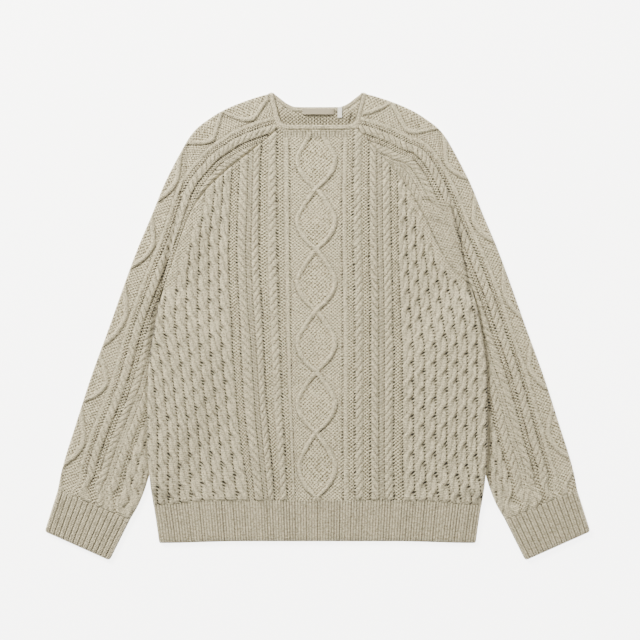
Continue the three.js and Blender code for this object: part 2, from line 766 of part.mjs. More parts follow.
const garment = new THREE.Group();
garment.name = "cable_knit_sweater";
garment.add(mesh("front_panel", frontPanel(), KNIT));
garment.add(mesh("back_panel", backPanel(), KNIT));
garment.add(mesh("sleeve_right", sleeve("right"), KNIT));
garment.add(mesh("sleeve_left", sleeve("left"), KNIT));
garment.add(mesh("hem_rib_front", hemBand(true), RIB));
garment.add(mesh("hem_rib_back", hemBand(false), RIB));
garment.add(mesh("cuff_right", cuff("right"), RIB));
garment.add(mesh("cuff_left", cuff("left"), RIB));
garment.add(mesh("neckband", neckband(), RIB));
garment.add(tag("neck_label", { wide: 50, long: 10, thick: 0.6, x: 1.2, y: 334.7 }, LABEL));
garment.add(tag("size_tab", { wide: 6.8, long: 17, thick: 0.8, x: 34.9, y: 333 }, TAB));
export default garment;
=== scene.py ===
"""A cable knit sweater lying flat: fine knitted shells on the forms of the CAD pieces.

Lengths are in millimetres until a mesh is made, and the frame is the CAD frame.
"""
import math

import bpy
import numpy as np
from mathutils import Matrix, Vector


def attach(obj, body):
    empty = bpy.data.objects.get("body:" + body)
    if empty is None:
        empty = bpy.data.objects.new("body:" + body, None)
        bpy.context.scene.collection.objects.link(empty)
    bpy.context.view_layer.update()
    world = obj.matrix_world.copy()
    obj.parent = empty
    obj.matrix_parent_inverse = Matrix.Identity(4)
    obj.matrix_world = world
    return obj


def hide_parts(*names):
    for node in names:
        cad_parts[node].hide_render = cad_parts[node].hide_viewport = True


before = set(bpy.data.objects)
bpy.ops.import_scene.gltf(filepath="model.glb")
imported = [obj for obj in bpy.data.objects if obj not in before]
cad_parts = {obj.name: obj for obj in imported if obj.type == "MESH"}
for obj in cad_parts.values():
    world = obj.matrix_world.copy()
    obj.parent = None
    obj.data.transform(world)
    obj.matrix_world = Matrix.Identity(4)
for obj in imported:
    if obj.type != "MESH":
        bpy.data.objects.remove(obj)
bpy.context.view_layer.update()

# Millimetres in a metre, and in one unit of the uv map.
METRE = 1000.0
UV_UNIT = 100.0

WALL = 2.6
LAYER_GAP = 0.4
SEAM_GAP = 0.12
TUBE = 2 * WALL + LAYER_GAP
FOLD_RADIUS = TUBE / 2
CABLE_HIGH = 2.7
BAND_HIGH = 2.2
SEED_HIGH = 0.5
RIB_HIGH = 1.3

DIAMOND = 95.0
DIAMOND_HALF = 29.5
PATTERN_SLIP = -2.2
BODY_CROSSING = 25.0
ROPE_PITCH = 12.6
ROPE_SLANT = 0.46
CABLE_WIDE = 17.375
CABLE_TURN = 28.0
COLUMN = CABLE_WIDE / 10
COURSE = CABLE_TURN / 18

# Ribs of the hem and of each cuff, and the pitches of ribs and stitches at the edges.
HEM_RIBS = 58
CUFF_RIBS = 14
HEM_PITCH = 8.8
CUFF_PITCH = 8.6
RIB_POINTS = 12
BACK_RIB_POINTS = 8
SEAM_STITCH = 6.9
EDGE_STITCH = 4.6
EDGE_SOFT = 3.5
BACK_NECK_RIB = 5.4
BAND_RIB = 3.9

HEM_TOP = -266.8
HEM_END = -335.9
ARMPIT_Y = 61.0
ARMPIT_SOFT = 31.0
FOLD_TOP = 262.0
PEAK = (69.5, 364.0)
UNDER_SLEEVE = 7.2
SIDE_RISE = 70.0
# The sleeve's back turns in by this many degrees, from this far up its outer edge.
BACK_TURN = 38.0
BACK_TURN_FROM = 640.0
CUFF_LONG = 69.0
FRONT_TOP = 305.6
BACK_TOP = 333.6

OUTER_EDGE = np.array([
    # x, y, lean of the courses
    (405.5, -256, 202.7), (400, -228.1, 201), (377.3, -153.1, 198.5), (353.1, -78.1, 199),
    (325.8, -3.1, 200), (299.2, 71.9, 201), (280.5, 121.9, 202), (259.4, 171.9, 203.5),
    (239, 221.9, 206), (226.6, 246.9, 209), (213.3, 271.9, 213), (198.4, 296.9, 221),
    (187.5, 309.4, 227), (171.1, 321.9, 234), (151.6, 334.4, 239), (124.2, 346.9, 245.5),
    (87.5, 359.4, 252), (77.2, 362, 255.6),
])
BODY_SIDE = [(-266.8, 256), (-253.1, 257.8), (-228.1, 260.9), (-178.1, 264.8),
             (-76.6, 263.3), (15.6, 250.8), (61, 240)]
SLEEVE_INNER = [(-303, 293), (-278.1, 278.9), (-253.1, 268.8), (-228.1, 261), (-190, 245),
                (-150, 228), (-110, 212), (-75, 201), (-45, 198), (-20, 205), (3, 222),
                (22, 239), (40, 247), (61, 240.6)]
SEAM_RIGHT = [(61, 240), (80, 219), (100, 203), (125, 188), (153, 175), (180, 162),
              (205, 148.5), (228, 133), (250, 115), (270, 96), (290, 77.5), (307.1, 63.1)]
SEAM_LEFT = [(61, 240), (88, 230), (115, 221), (150, 209), (180, 196), (205, 180),
             (225, 162), (243, 142), (258, 123), (275, 101), (290, 82.5), (307.1, 63.1)]
SEAM_BACK = [(61, 240), (100, 215), (150, 190), (200, 161), (250, 125), (295, 90), (340.8, 51)]
FOLD = [(61, 241, 0.3), (73.4, 238.3, 1.6), (106.3, 229.7, 4), (150, 221.6, 5),
        (185, 215, 4), (205, 210.5, 2.6), (225, 205.5, 1.3), (245, 200.5, 0.4), (262, 197, 0)]
# Along each sleeve: how far its diamonds turn round the outer edge, and where their bands cross.
SLIDE = {
    "right": [(0, -6), (98, -8.3), (205, -13), (330, -15.5), (450, -12), (555, -11), (610, -5),
              (645, 1), (732, 1)],
    "left": [(0, -9), (86, -9.5), (185, -4), (293, -11.3), (412, -9), (521, -14.5), (575, -6),
             (615, 0), (732, 1)],
}
SLEEVE_CROSSINGS = {
    "right": [-66, 46, 154, 264, 396, 505, 604, 692, 780],
    "left": [-70, 32, 141, 229, 357, 467, 575, 655, 735, 815],
}

# Where the columns of the front run: how far ten of its lines lie from the middle, as knitted
# in CHART and, for one height a row, as they lie on each side.
CHART = [31, 51, 84, 105, 121, 134, 168.75, 203.5, 238.25, 308]
CHART_RIGHT = [
    (-266, 31, 52, 84, 106, 122, 136, 173, 209, 243, 310),
    (-190, 31, 51, 84, 105, 121, 134.5, 169, 203, 234, 296),
    (-37, 31, 51, 84, 105, 122, 134, 168, 204, 235, 297),
    (2, 31, 51, 84, 105, 120, 132, 164, 198, 232, 300),
    (41, 31, 50, 84, 104.5, 120, 131, 161, 193, 225, 290),
    (80, 31, 50, 83, 104, 119, 129, 159, 189, 217, 275),
    (120, 31, 48.5, 82, 103, 118, 128, 156, 181, 209, 265),
    (200, 31, 48, 81.5, 102, 117, 127, 154, 179, 203, 255),
    (300, 31, 50, 82, 101, 115, 124, 148, 166, 184, 230),
]
CHART_LEFT = [
    (-266, 27, 37, 64, 80, 96, 104, 141, 177, 212, 282),
    (-233, 28, 38, 66, 84, 100, 108, 145, 179, 213, 281),
    (-194, 29, 40, 70, 88, 105, 115, 149, 181, 214, 278),
    (-155, 30, 41.5, 73.5, 92, 110, 120, 152, 184, 215, 277),
    (-116, 31, 43.5, 77, 94.5, 114, 124, 156, 189, 219, 280),
    (-77, 31, 45, 79, 97, 116, 126, 161, 193, 223, 283),
    (-37, 31, 46, 80.5, 99.5, 118, 130, 164, 197, 230, 292),
    (2, 31, 48, 82, 103, 119, 131, 166, 201, 237, 303),
    (41, 31, 48.5, 84.5, 106, 121, 134, 167, 202, 235, 300),
    (119, 31, 50, 88, 108.5, 124, 136, 167, 196, 229, 290),
    (200, 31, 51, 87.5, 106, 122, 133, 159, 189, 215, 275),
    (300, 31, 52, 84, 104, 118, 128, 152, 172, 192, 235),
]


def unit(v):
    return np.clip(v, 0, 1)


def ease(f):
    c = unit(f)
    return c * c * (3 - 2 * c)


def bell(v):
    return np.exp(-(v ** 2))


def join(*lines):
    return np.concatenate(lines)


def stack(*values):
    return np.stack(values, -1)


def curve(keys, values):
    """A smooth curve through a table, without overshoot between its rows."""
    k = np.array(keys, float)
    v = np.array(values, float)
    d = np.diff(v) / np.diff(k)
    t = np.zeros(len(k))
    t[0], t[-1] = d[0], d[-1]
    same = d[:-1] * d[1:] > 0
    t[1:-1] = np.where(same, 2 * d[:-1] * d[1:] / np.where(same, d[:-1] + d[1:], 1), 0)

    def at(x):
        x = np.asarray(x, float)
        i = np.clip(np.searchsorted(k, x) - 1, 0, len(k) - 2)
        h = k[i + 1] - k[i]
        f = unit((x - k[i]) / h)
        inside = (v[i] * (2 * f**3 - 3 * f**2 + 1) + t[i] * h * (f**3 - 2 * f**2 + f)
                  + v[i + 1] * (3 * f**2 - 2 * f**3) + t[i + 1] * h * (f**3 - f**2))
        return inside + np.minimum(x - k[0], 0) * t[0] + np.maximum(x - k[-1], 0) * t[-1]
    return at


def table(rows, column=1):
    return curve([r[0] for r in rows], [r[column] for r in rows])


body_side = table(BODY_SIDE)
sleeve_inner = table(SLEEVE_INNER)
seam = {"right": table(SEAM_RIGHT), "left": table(SEAM_LEFT), "back": table(SEAM_BACK)}
fold_x = table(FOLD)
fold_high = table(FOLD, 2)
sleeve_slide = {side: table(rows) for side, rows in SLIDE.items()}
chart = {
    "right": [table(CHART_RIGHT, i + 1) for i in range(len(CHART))],
    "left": [table(CHART_LEFT, i + 1) for i in range(len(CHART))],
}

steps = np.hypot(np.diff(OUTER_EDGE[:, 0]), np.diff(OUTER_EDGE[:, 1]))
EDGE_T = join([0], np.cumsum(steps))
SLEEVE_LONG = EDGE_T[-1]
edge_x = curve(EDGE_T, OUTER_EDGE[:, 0])
edge_y = curve(EDGE_T, OUTER_EDGE[:, 1])
edge_lean = curve(EDGE_T, OUTER_EDGE[:, 2])


def sleeve_plan(s, t, back):
    """Where a point of the sleeve lies: s in from its outer edge and t along that edge."""
    turn = BACK_TURN * ease((t - BACK_TURN_FROM) / (SLEEVE_LONG - BACK_TURN_FROM)) if back else 0
    angle = np.radians(edge_lean(t) - turn)
    return edge_x(t) + s * np.cos(angle), edge_y(t) + s * np.sin(angle)


def sleeve_wide(t, line, back):
    """How far in from its outer edge the sleeve reaches its inner edge or its raglan seam."""
    def beyond(s):
        x, y = sleeve_plan(s, t, back)
        return x < np.where(y < ARMPIT_Y, sleeve_inner(y), line(y))
    low = np.full(len(t), 28.0)
    found = np.zeros(len(t), bool)
    for s in np.arange(30, 202, 2.0):
        out = beyond(np.full(len(t), s))
        low = np.where(found | out, low, s)
        found |= out
    high = low + 2
    for _ in range(24):
        middle = (low + high) / 2
        out = beyond(middle)
        high = np.where(out, middle, high)
        low = np.where(out, low, middle)
    return low


def side_lift(x, y):
    """How far the sleeve under it lifts the side of the body."""
    along = ease((ARMPIT_Y - y) / ARMPIT_SOFT) * ease((y + 264) / 27)
    edge = sleeve_inner(np.clip(y, -240, ARMPIT_Y))
    return UNDER_SLEEVE * along * ease((np.abs(x) - edge + SIDE_RISE + 10) / SIDE_RISE)


def fold_lift(x, y):
    """How far the cloth folds up beside the armpit, over the raglan seam."""
    at = np.clip(y, ARMPIT_Y, FOLD_TOP)
    inside = fold_x(at) - np.abs(x)
    high = fold_high(at) * ease((y - ARMPIT_Y + ARMPIT_SOFT) / ARMPIT_SOFT) * ease((FOLD_TOP - y) / 10)
    step = 4.4 + 26 * ease((y - 165) / 45)
    return high * ease(inside / step + 0.5) * (1 - ease((inside - 8) / 62))


def puff(x, y):
    """The middle of the front stands up a little."""
    across = 1 - ease((np.abs(x) - 60) / 120)
    return 1.6 * across * ease((y + 250) / 80) * ease((285 - y) / 90)


def front_lift(x, y):
    return side_lift(x, y) + fold_lift(x, y) + puff(x, y)


def dome(w):
    return np.sqrt(unit(1 - w * w))


def strand_phase(w, v, lean):
    return v / ROPE_PITCH - lean * ROPE_SLANT * np.sin(np.clip(w, -1, 1) * np.pi / 2)


def rope(w, v, lean):
    """Strands that cross a rope one above the other, as a height from 0 to 1."""
    phase = strand_phase(w, v, lean)
    f = phase - np.floor(phase)
    return dome(w) ** 0.7 * (0.36 + 0.64 * dome(2 * f - 1))


def groove_shade(w, v, lean):
    """The painted shade where one strand of a rope goes under the next."""
    phase = strand_phase(w, v, lean)
    f = np.abs(phase - np.round(phase)) * ROPE_PITCH
    return bell(f / 1.6) * dome(w * 0.98)


def twist(w, v, lean):
    """Two strands twisted round each other, as a height from 0 to 1, and the painted shade in the hollow
    between them.
    """
    a = np.pi * v / CABLE_TURN
    off = 0.43 * lean * np.tanh(2.0 * np.sin(a))
    half = 0.62
    one = np.where(np.abs(w - off) < half, dome((w - off) / half) * (0.7 + 0.35 * np.cos(a)), 0)
    two = np.where(np.abs(w + off) < half, dome((w + off) / half) * (0.7 - 0.35 * np.cos(a)), 0)
    between = bell((one - two) / 0.36) * ease((0.9 - np.abs(w)) / 0.25)
    between = between * (0.55 + 0.45 * np.abs(np.cos(a)))
    return np.maximum(one, two), between


def ridge(c, at, wide):
    return dome((c - at) / (wide / 2))


def near(c, at, wide):
    return bell((c - at) / wide)


def nears(c, wide, places):
    return sum(near(c, at, wide) for at in places)


def diamonds(c, cell):
    """Two bands that cross at each whole number of cell.

    Returns their height, the share of seed stitch, and the painted shade in lines beside them and in
    holes inside them.
    """
    k = np.floor(cell)
    f = cell - k
    half = DIAMOND_HALF * (1 - np.abs(2 * f - 1) ** np.where(f < 0.5, 2.1, 1.25))
    sign = np.where(k % 2 == 0, 1.0, -1.0)
    wide = 3.8 + 0.9 * np.abs(2 * f - 1)
    over = dome((c - sign * half) / wide)
    under = dome((c + sign * half) / wide)
    crossing = bell(np.minimum(f, 1 - f) / 0.07)
    high = BAND_HIGH * np.maximum(over * (1 + 0.12 * crossing), under * (1 - 0.25 * crossing))
    inside = ease((half - np.abs(c) - 1.5) / 3)
    shade_beside = near(np.abs(c), half + wide + 0.4, 1.1) * (0.12 + 0.26 * ease((0.55 - f) / 0.2))
    holes = near(np.abs(c), half - wide - 1.2, 1.5) * ease((f - 0.72) / 0.1) * ease((0.93 - f) / 0.05)
    seed = inside * (1 - np.maximum(over, under))
    return np.maximum(high, SEED_HIGH * inside), seed, shade_beside, 0.5 * holes


# The columns of a panel, by their distance from its middle line in millimetres.
# ropes: middle, half width, shift along the panel, way of turning (0: mirrored), painted shade in the
# grooves
# ribs: middle, width, height
# cables: first, width, height, way of turning, painted shade between the strands
# purl: middle, width
# bare: plain purl stands among the diamonds up to the first number, and not within the second
# lines, faint: width, places of the dotted lines of painted shade
# rails: fine lines of painted shade beside thin ribs
# steady: the share of a dotted line that doesn't come and go
# eyes: from where, least width, added width, least and added painted shade of the holes between cables
BODY_PLAN = {
    "ropes": [(66.9, 6.1, 0, 0, 0.5), (91.4, 5.9, 5, -1, 0.55), (113, 6.0, 5, 1, 0.55)],
    "ribs": [(45.5, 7, 0.95), (100.4, 3.6, 1.1), (103.9, 3.6, 1.1)],
    "cables": (134, CABLE_WIDE, 2.9, 1, 0.55),
    "purl": [(54.5, 4.5), (78.5, 5), (127.5, 5.5)],
    "bare": (42, 3),
    "lines": (1.5, (60.2, 84.4, 120.8, 134)),
    "faint": (1.1, (41.2, 41.2, 50.2)),
    "rails": (98.6, 102.1, 105.6),
    "steady": 0.5,
    "eyes": (142, 1.25, 0.75, 0.48, 0.5),
}
SLEEVE_PLAN = {
    "ropes": [(54, 6.2, 0, -1, 0.5), (74.5, 5.9, 4, 1, 0.5), (95.5, 5.9, 4, -1, 0.5)],
    "ribs": [(38.5, 6, 0.95), (83.4, 3.6, 1.1), (87, 3.6, 1.1)],
    "cables": (107, 14.5, 2.6, -1, 0.5),
    "purl": [(44.5, 3), (64.5, 4.5), (104, 3)],
    "bare": (36, -3),
    "lines": (1.3, (47.2, 61, 68.4, 107)),
    "faint": (1.0, (35, 41.8, 81.4, 85.2, 89)),
    "rails": (),
    "steady": 0.4,
    "eyes": (112, 1.2, 0.8, 0.3, 0.5),
}


def body_cell(v):
    return (v - BODY_CROSSING) / DIAMOND


def sleeve_cell(side):
    cross = np.array(SLEEVE_CROSSINGS[side], float)
    return lambda t: np.interp(t, cross, np.arange(len(cross)))


def relief(plan, cell, c, v):
    """Height of the stitches, and their marks: purl, seed, painted shade in hollows, painted shade in
    dotted holes.

    c is the distance from the middle line, v that along the panel, and cell counts the diamonds.
    """
    a = np.abs(c)
    side = np.where(c < 0, -1.0, 1.0)
    high, seed, shade_beside, holes = diamonds(c, cell(v))
    # Painted shade beside the diamonds' bands, along the rails, in the ropes' grooves and between the
    # cables' strands.
    rails = nears(a, 1.2, plan["rails"])
    hollow_shade = shade_beside + 0.25 * rails
    for at, half, shift, way, dark in plan["ropes"]:
        place = ((a - at) / half, v + shift, way if way else side)
        high = np.maximum(high, CABLE_HIGH * rope(*place))
        hollow_shade = hollow_shade + dark * groove_shade(*place)
    for at, wide, rise in plan["ribs"]:
        high = np.maximum(high, rise * ridge(a, at, wide))

    first, wide, rise, way, dark = plan["cables"]
    valley = (a - first) / wide
    k = np.floor(valley)
    shift = np.where(k % 2 == 0, 0.0, CABLE_TURN / 2)
    small = np.where(a > first, 1.0, 0.0)
    strand, between = twist(2 * (valley - k) - 1, v + shift, way)
    high = np.maximum(high, small * rise * strand)
    hollow_shade = hollow_shade + dark * small * between

    purl = sum(near(a, at, broad) for at, broad in plan["purl"])
    purl = unit(purl * 1.3)
    end, middle = plan["bare"]
    outside = np.where(a < end, 1 - ease(high / 0.5), 0) * (1 - ease(seed * 4))
    purl = np.maximum(purl, 0.62 * outside * ease((a - middle) / 3))

    # Painted shade in the dotted lines, the holes of the diamonds and the eyelets between the cables.
    line = nears(a, *plan["lines"]) + 0.5 * nears(a, *plan["faint"])
    group = 0.5 + 0.5 * np.cos(2 * np.pi * (v / CABLE_TURN + 0.37 * np.round(a / 13)))
    steady = plan["steady"]
    dotted_shade = line * (steady + (1 - steady) * group) + 0.3 * rails + holes
    n = np.round(valley)
    d = np.abs(valley - n) * wide
    turn = v / CABLE_TURN + np.where(n % 2 == 0, 0.5, 0.0) + 1 / 12
    strong = ease(1.5 - 6 * np.abs(turn - np.round(turn)))
    start, least, more, dim, shade_depth = plan["eyes"]
    eye_shade = bell(d / (least + more * strong)) * (dim + shade_depth * strong)
    dotted_shade = dotted_shade + np.where((a > start) & (n > 0), eye_shade, 0)
    return high, stack(purl, seed, hollow_shade, dotted_shade)


def cavity(plan, cell, c, v):
    """The relief, and how far each point lies under its neighbours, from 0 to 1, for painted shade."""
    own = relief(plan, cell, c, v)

    def around(step):
        return sum(relief(plan, cell, c + i, v + j)[0]
                   for i, j in ((step, 0), (-step, 0), (0, step), (0, -step))) / 4
    close = unit((around(1.7) - own[0]) / 0.8)
    broad = unit((around(4.0) - own[0]) / 2.2)
    return own, np.maximum(close, broad)


# Creases: the points that each runs through, its width, rise or depth, and the darkness of its painted
# shade.
CREASES_RIGHT = [
    ([(190, 301), (191.4, 278), (194.5, 255), (200, 228), (204, 211), (209.7, 183)], 2.6, -1.3, 0.35),
    ([(209.7, 183), (218, 152), (225.3, 126), (230.5, 96), (235.2, 66), (240, 46)], 3.4, -2.4, 0.75),
    ([(218, 150), (227, 120), (231, 92)], 6.0, -0.8, 0.3),
    ([(162.8, 198), (175, 195), (187, 185), (201, 178)], 1.5, -1.0, 0.5),
    ([(169.5, 198), (184, 192), (202, 183)], 1.4, -0.9, 0.45),
    ([(160, 204), (178, 200), (204, 190)], 3.0, 0.9, 0),
    ([(158, 192), (180, 182), (204, 171)], 4.0, 0.8, 0),
    ([(182, 211), (184, 200)], 1.6, -0.9, 0.45),
    ([(188.8, 214), (189.7, 200)], 1.6, -0.9, 0.45),
    ([(182, 241), (184.5, 229)], 1.8, -0.6, 0.3),
    ([(191, 231), (191, 216)], 2.0, -0.6, 0.25),
    ([(171, 167), (190, 163), (208, 155)], 5.0, -0.9, 0.22),
    ([(150, 236), (172, 217)], 1.6, -0.5, 0.2),
    ([(246, 30), (249, -60)], 7.0, -0.8, 0.1),
    ([(214, 140), (190, 96)], 12.0, 0.8, 0),
    ([(149, 203), (171, 162.5), (184.5, 134.4), (201, 101), (211, 86)], 1.7, -0.3, 0.45),
]
CREASES_LEFT = [
    ([(203.6, 278), (204.4, 247), (206, 235), (211.7, 206)], 2.8, -1.4, 0.35),
    ([(211.7, 206), (214.8, 181), (225.8, 141), (232, 119)], 3.6, -2.2, 0.36),
    ([(232, 119), (239, 84), (243, 61), (248, 42)], 4.0, -2.4, 0.4),
    ([(199, 164), (212, 160), (222, 158)], 2.0, -0.5, 0.18),
    ([(168, 212), (204, 182)], 2.6, -0.7, 0.12),
    ([(190, 236), (200, 206)], 3.0, 0.6, 0),
    ([(247, 42), (250.5, 22), (254.5, 2), (258, -22), (261, -45)], 5.0, -1.0, 0.8),
    ([(194.5, 151.6), (208.6, 134.4), (220.3, 118.8)], 1.6, -0.3, 0.4),
]
CREASES_BACK = [
    ([(226, 52), (212, 110), (188, 168)], 6.0, 1.1, 0.3),
    ([(196, 70), (180, 122), (152, 170)], 5.0, 0.9, 0.2),
    ([(-224, 48), (-214, 100), (-196, 158)], 6.5, 1.1, 0.3),
    ([(-176, 96), (-150, 150)], 5.0, 0.8, 0.2),
    ([(118, -214), (134, -80), (150, 40)], 22.0, 1.0, 0),
    ([(-96, -190), (-120, -40), (-112, 90)], 24.0, 1.0, 0),
    ([(70, 60), (44, 250)], 26.0, 0.8, 0),
]


def from_line(x, y, points):
    """The distance of each place from a line through a few points."""
    least = np.full(np.broadcast(x, y).shape, 1e9)
    for (x0, y0), (x1, y1) in zip(points[:-1], points[1:]):
        long = math.hypot(x1 - x0, y1 - y0)
        ux, uy = (x1 - x0) / long, (y1 - y0) / long
        along = np.clip((x - x0) * ux + (y - y0) * uy, 0, long)
        least = np.minimum(least, np.hypot(x - x0 - along * ux, y - y0 - along * uy))
    return least


def creases(x, y, rows):
    """How far the cloth rises at its creases, and how dark the painted shade along their bottoms is."""
    total = np.zeros(np.broadcast(x, y).shape)
    shade = np.zeros(total.shape)
    for points, wide, high, dark in rows:
        d = from_line(x, y, points)
        total = total + high * bell(d / wide)
        shade = np.maximum(shade, dark * bell(d / (0.65 * wide)))
    return total, shade


def sway(x, y):
    """A low unevenness of soft cloth over a hand's breadth."""
    return 0.35 * (np.sin(x / 41 + y / 67) + np.sin(x / 29 - y / 53 + 1.3) * np.cos(y / 37 + 0.6))


def add_object(name, data):
    made = bpy.data.objects.new(name, data)
    bpy.context.scene.collection.objects.link(made)
    return made


class Shell:
    """Points and faces of one piece, with the stitch coordinates and marks of its points."""

    def __init__(self):
        self.points = []
        self.marks = []
        self.knit = []
        self.faces = []
        self.count = 0

    def add(self, points, knit=None, marks=None):
        """Adds a line or a grid of points and returns their numbers in the same layout."""
        flat = points.reshape(-1, 3)
        n = len(flat)
        index = self.count + np.arange(n).reshape(points.shape[:-1])
        self.points.append(flat)
        self.knit.append(flat[:, :2] if knit is None else knit.reshape(-1, 2))
        plain = np.tile([0.6, 0.0, 0.0, 0.0], (n, 1))
        self.marks.append(plain if marks is None else marks.reshape(-1, 4))
        self.count += n
        return index

    def quads(self, index, turned=False):
        a, b = index[:-1, :-1], index[:-1, 1:]
        c, d = index[1:, 1:], index[1:, :-1]
        q = stack(a, b, c, d).reshape(-1, 4)
        self.faces.extend((q[:, ::-1] if turned else q).tolist())

    def zip(self, one, two):
        """Joins two lines of points that run side by side, by how far along each point lies."""
        points = np.concatenate(self.points)

        def reach(line):
            steps = np.linalg.norm(np.diff(points[line], axis=0), axis=1)
            far = join([0], np.cumsum(steps))
            return far / far[-1]
        fa, fb = reach(one), reach(two)
        a = b = 0
        while a + 1 < len(one) or b + 1 < len(two):
            if a + 1 < len(one) and (b + 1 >= len(two) or fa[a + 1] <= fb[b + 1]):
                self.faces.append([int(one[a]), int(two[b]), int(one[a + 1])])
                a += 1
            else:
                self.faces.append([int(one[a]), int(two[b]), int(two[b + 1])])
                b += 1

    def rims(self, outer, inner, turned=False):
        """Closes the rim: both are (bottom, right, top, left) lines of points, each in turn."""
        for one, two in zip(outer, inner):
            if turned:
                self.zip(two, one)
            else:
                self.zip(one, two)

    def build(self, name):
        points = np.concatenate(self.points)
        faces = self.faces
        tri = np.array([[f[0], f[1], f[2]] for f in faces]
                       + [[f[0], f[2], f[3]] for f in faces if len(f) == 4])
        p, q, r = points[tri[:, 0]], points[tri[:, 1]], points[tri[:, 2]]
        if (p * np.cross(q, r)).sum() < 0:
            faces = [f[::-1] for f in faces]
        mesh = bpy.data.meshes.new(name)
        mesh.from_pydata((points / METRE).tolist(), [], faces)
        mesh.polygons.foreach_set("use_smooth", [True] * len(mesh.polygons))
        marks = mesh.color_attributes.new("marks", "FLOAT_COLOR", "POINT")
        marks.data.foreach_set("color", np.concatenate(self.marks).astype(np.float32).ravel())
        loops = np.zeros(len(mesh.loops), np.int32)
        mesh.loops.foreach_get("vertex_index", loops)
        uv = mesh.uv_layers.new(name="knit")
        knit = np.concatenate(self.knit)[loops] / UV_UNIT
        uv.data.foreach_set("uv", knit.astype(np.float32).ravel())
        mesh.update()
        return add_object(name, mesh)


def edges(index):
    """The bottom, right, top and left lines of a grid."""
    return index[0, :], index[:, -1], index[-1, ::-1], index[::-1, 0]


def grid_slab(name, outer, inner, knit, marks):
    """A closed sheet between two grids of points."""
    shell = Shell()
    out = shell.add(outer, knit, marks)
    inn = shell.add(inner)
    shell.quads(out)
    shell.quads(inn, turned=True)
    shell.rims(edges(out), edges(inn))
    return shell.build(name)


def panel_half(y, line, corner_y, top):
    """Half the width of a panel at one height, up to its side or its raglan seam."""
    if y < ARMPIT_Y:
        return float(body_side(y))
    return float(line(corner_y if y >= top - 1e-6 else y)) - SEAM_GAP / 2


def panel_rows(top):
    """The heights of a panel's rows of points, placed by its courses."""
    first = BODY_CROSSING - 3 * DIAMOND
    low = HEM_TOP + SEAM_GAP
    rows = first + COURSE * np.arange(-10, 400)
    rows = rows[(rows > low + 0.8) & (rows < top - 0.8)]
    return join([low], rows, [top])


def panel(name, top, corner_y, neck, seams, height, inner_height, step=1, slip=0.0):
    """A panel whose columns follow the chart and end at its side edges."""
    shell = Shell()
    ys = panel_rows(top)
    if step > 1:
        ys = join([ys[0]], ys[step:-step:step], [ys[-1]])
    first_cable = BODY_PLAN["cables"][0]
    wide = COLUMN * step
    c_lines = first_cable + wide * np.arange(-int(first_cable / wide), 200)
    c_lines = join([0.0], c_lines[c_lines > 0.4 * COLUMN])
    knitted = join([0], CHART)

    def level(x, y):
        return neck(x) if y == top else np.full(len(x), y)
    index = []
    for y in ys:
        line = []
        for side, sign in (("left", -1), ("right", 1)):
            lying = join([0], [float(k(y)) for k in chart[side]])
            x = np.interp(c_lines, knitted, lying)
            half = panel_half(y, seams[side], corner_y, top)
            reach = half - sign * slip
            keep = x < reach - 1.1
            xs = join(x[keep], [reach])
            cs = join(c_lines[keep], [float(np.interp(reach, lying, knitted))])
            line.append((sign * xs + slip, sign * cs, half))
        (xl, cl, hl), (xr, cr, hr) = line
        x = join(xl[::-1], xr[1:])
        c = join(cl[::-1], cr[1:])
        yy = level(x, y)
        z, marks = height(x, yy, c, np.where(x < 0, hl + x, hr - x))
        index.append((shell.add(stack(x, sag(x, yy), z), stack(c, yy), marks), len(xl) - 1))
    turned = name.startswith("back")
    for (low, ml), (up, mu) in zip(index[:-1], index[1:]):
        for sign in (-1, 1):
            one = low[ml::sign]
            two = up[mu::sign]
            n = min(len(one), len(two)) - 1
            faces = stack(one[:n - 1], one[1:n], two[1:n], two[:n - 1]).tolist()
            longer = len(one) >= len(two)
            tail = (one if longer else two)[n - 1:].tolist()
            tip = int(two[-1] if longer else one[-1])
            for near_one, far_one in zip(tail[:-1], tail[1:]):
                faces.append([near_one, far_one, tip] if longer else [tip, far_one, near_one])
            faces.append([int(one[n - 1]), tip, int(two[n - 1])])
            flip = (sign < 0) != turned
            shell.faces.extend([f[::-1] for f in faces] if flip else faces)
    us = np.linspace(-1, 1, 61 if turned else 25)
    inner_ys = np.linspace(ys[0], top, 66 if turned else 34)
    if turned:
        us = join(us[:22], np.linspace(-0.27, 0.27, 111), us[39:])
        inner_ys = join(inner_ys[:-5], np.linspace(top - 34, top, 24))
    coarse = []
    for y in inner_ys:
        hl = panel_half(y, seams["left"], corner_y, top)
        hr = panel_half(y, seams["right"], corner_y, top)
        x = np.where(us < 0, us * hl, us * hr)
        yy = level(x, y)
        coarse.append(stack(x, sag(x, yy), inner_height(x, yy)))
    coarse = np.array(coarse)
    # The inside: purl with a little painted shade. Inside the back's neck: more painted shade towards
    # the front band's roll, in lines along the fanned ribs, and in a line at the front band's inner edge
    # on the right.
    inner_marks = np.tile([0.8, 0.0, 0.15, 0.0], (*coarse.shape[:2], 1))
    if turned:
        x, y = coarse[..., 0], coarse[..., 1]
        spread = x * (1 + 0.005 * (334 - y)) + 2.2 * np.sin(x / 17)
        fan = np.cos(2 * np.pi * spread / BACK_NECK_RIB)
        rim = bell((x - 49.5 - 0.33 * (y - 320)) / 2.4) * ease((y - 314) / 5)
        inner_marks[..., 2] += 0.25 * ease((331 - y) / 6) + 0.45 * ease((332 - y) / 10) * fan + 0.6 * rim
        inner_marks = unit(inner_marks)
    inn = shell.add(coarse, marks=inner_marks)
    shell.quads(inn, turned=not turned)
    outer = (index[0][0], np.array([i[-1] for i, _ in index]),
             index[-1][0][::-1], np.array([i[0] for i, _ in index])[::-1])
    shell.rims(outer, edges(inn), turned)
    return shell.build(name)


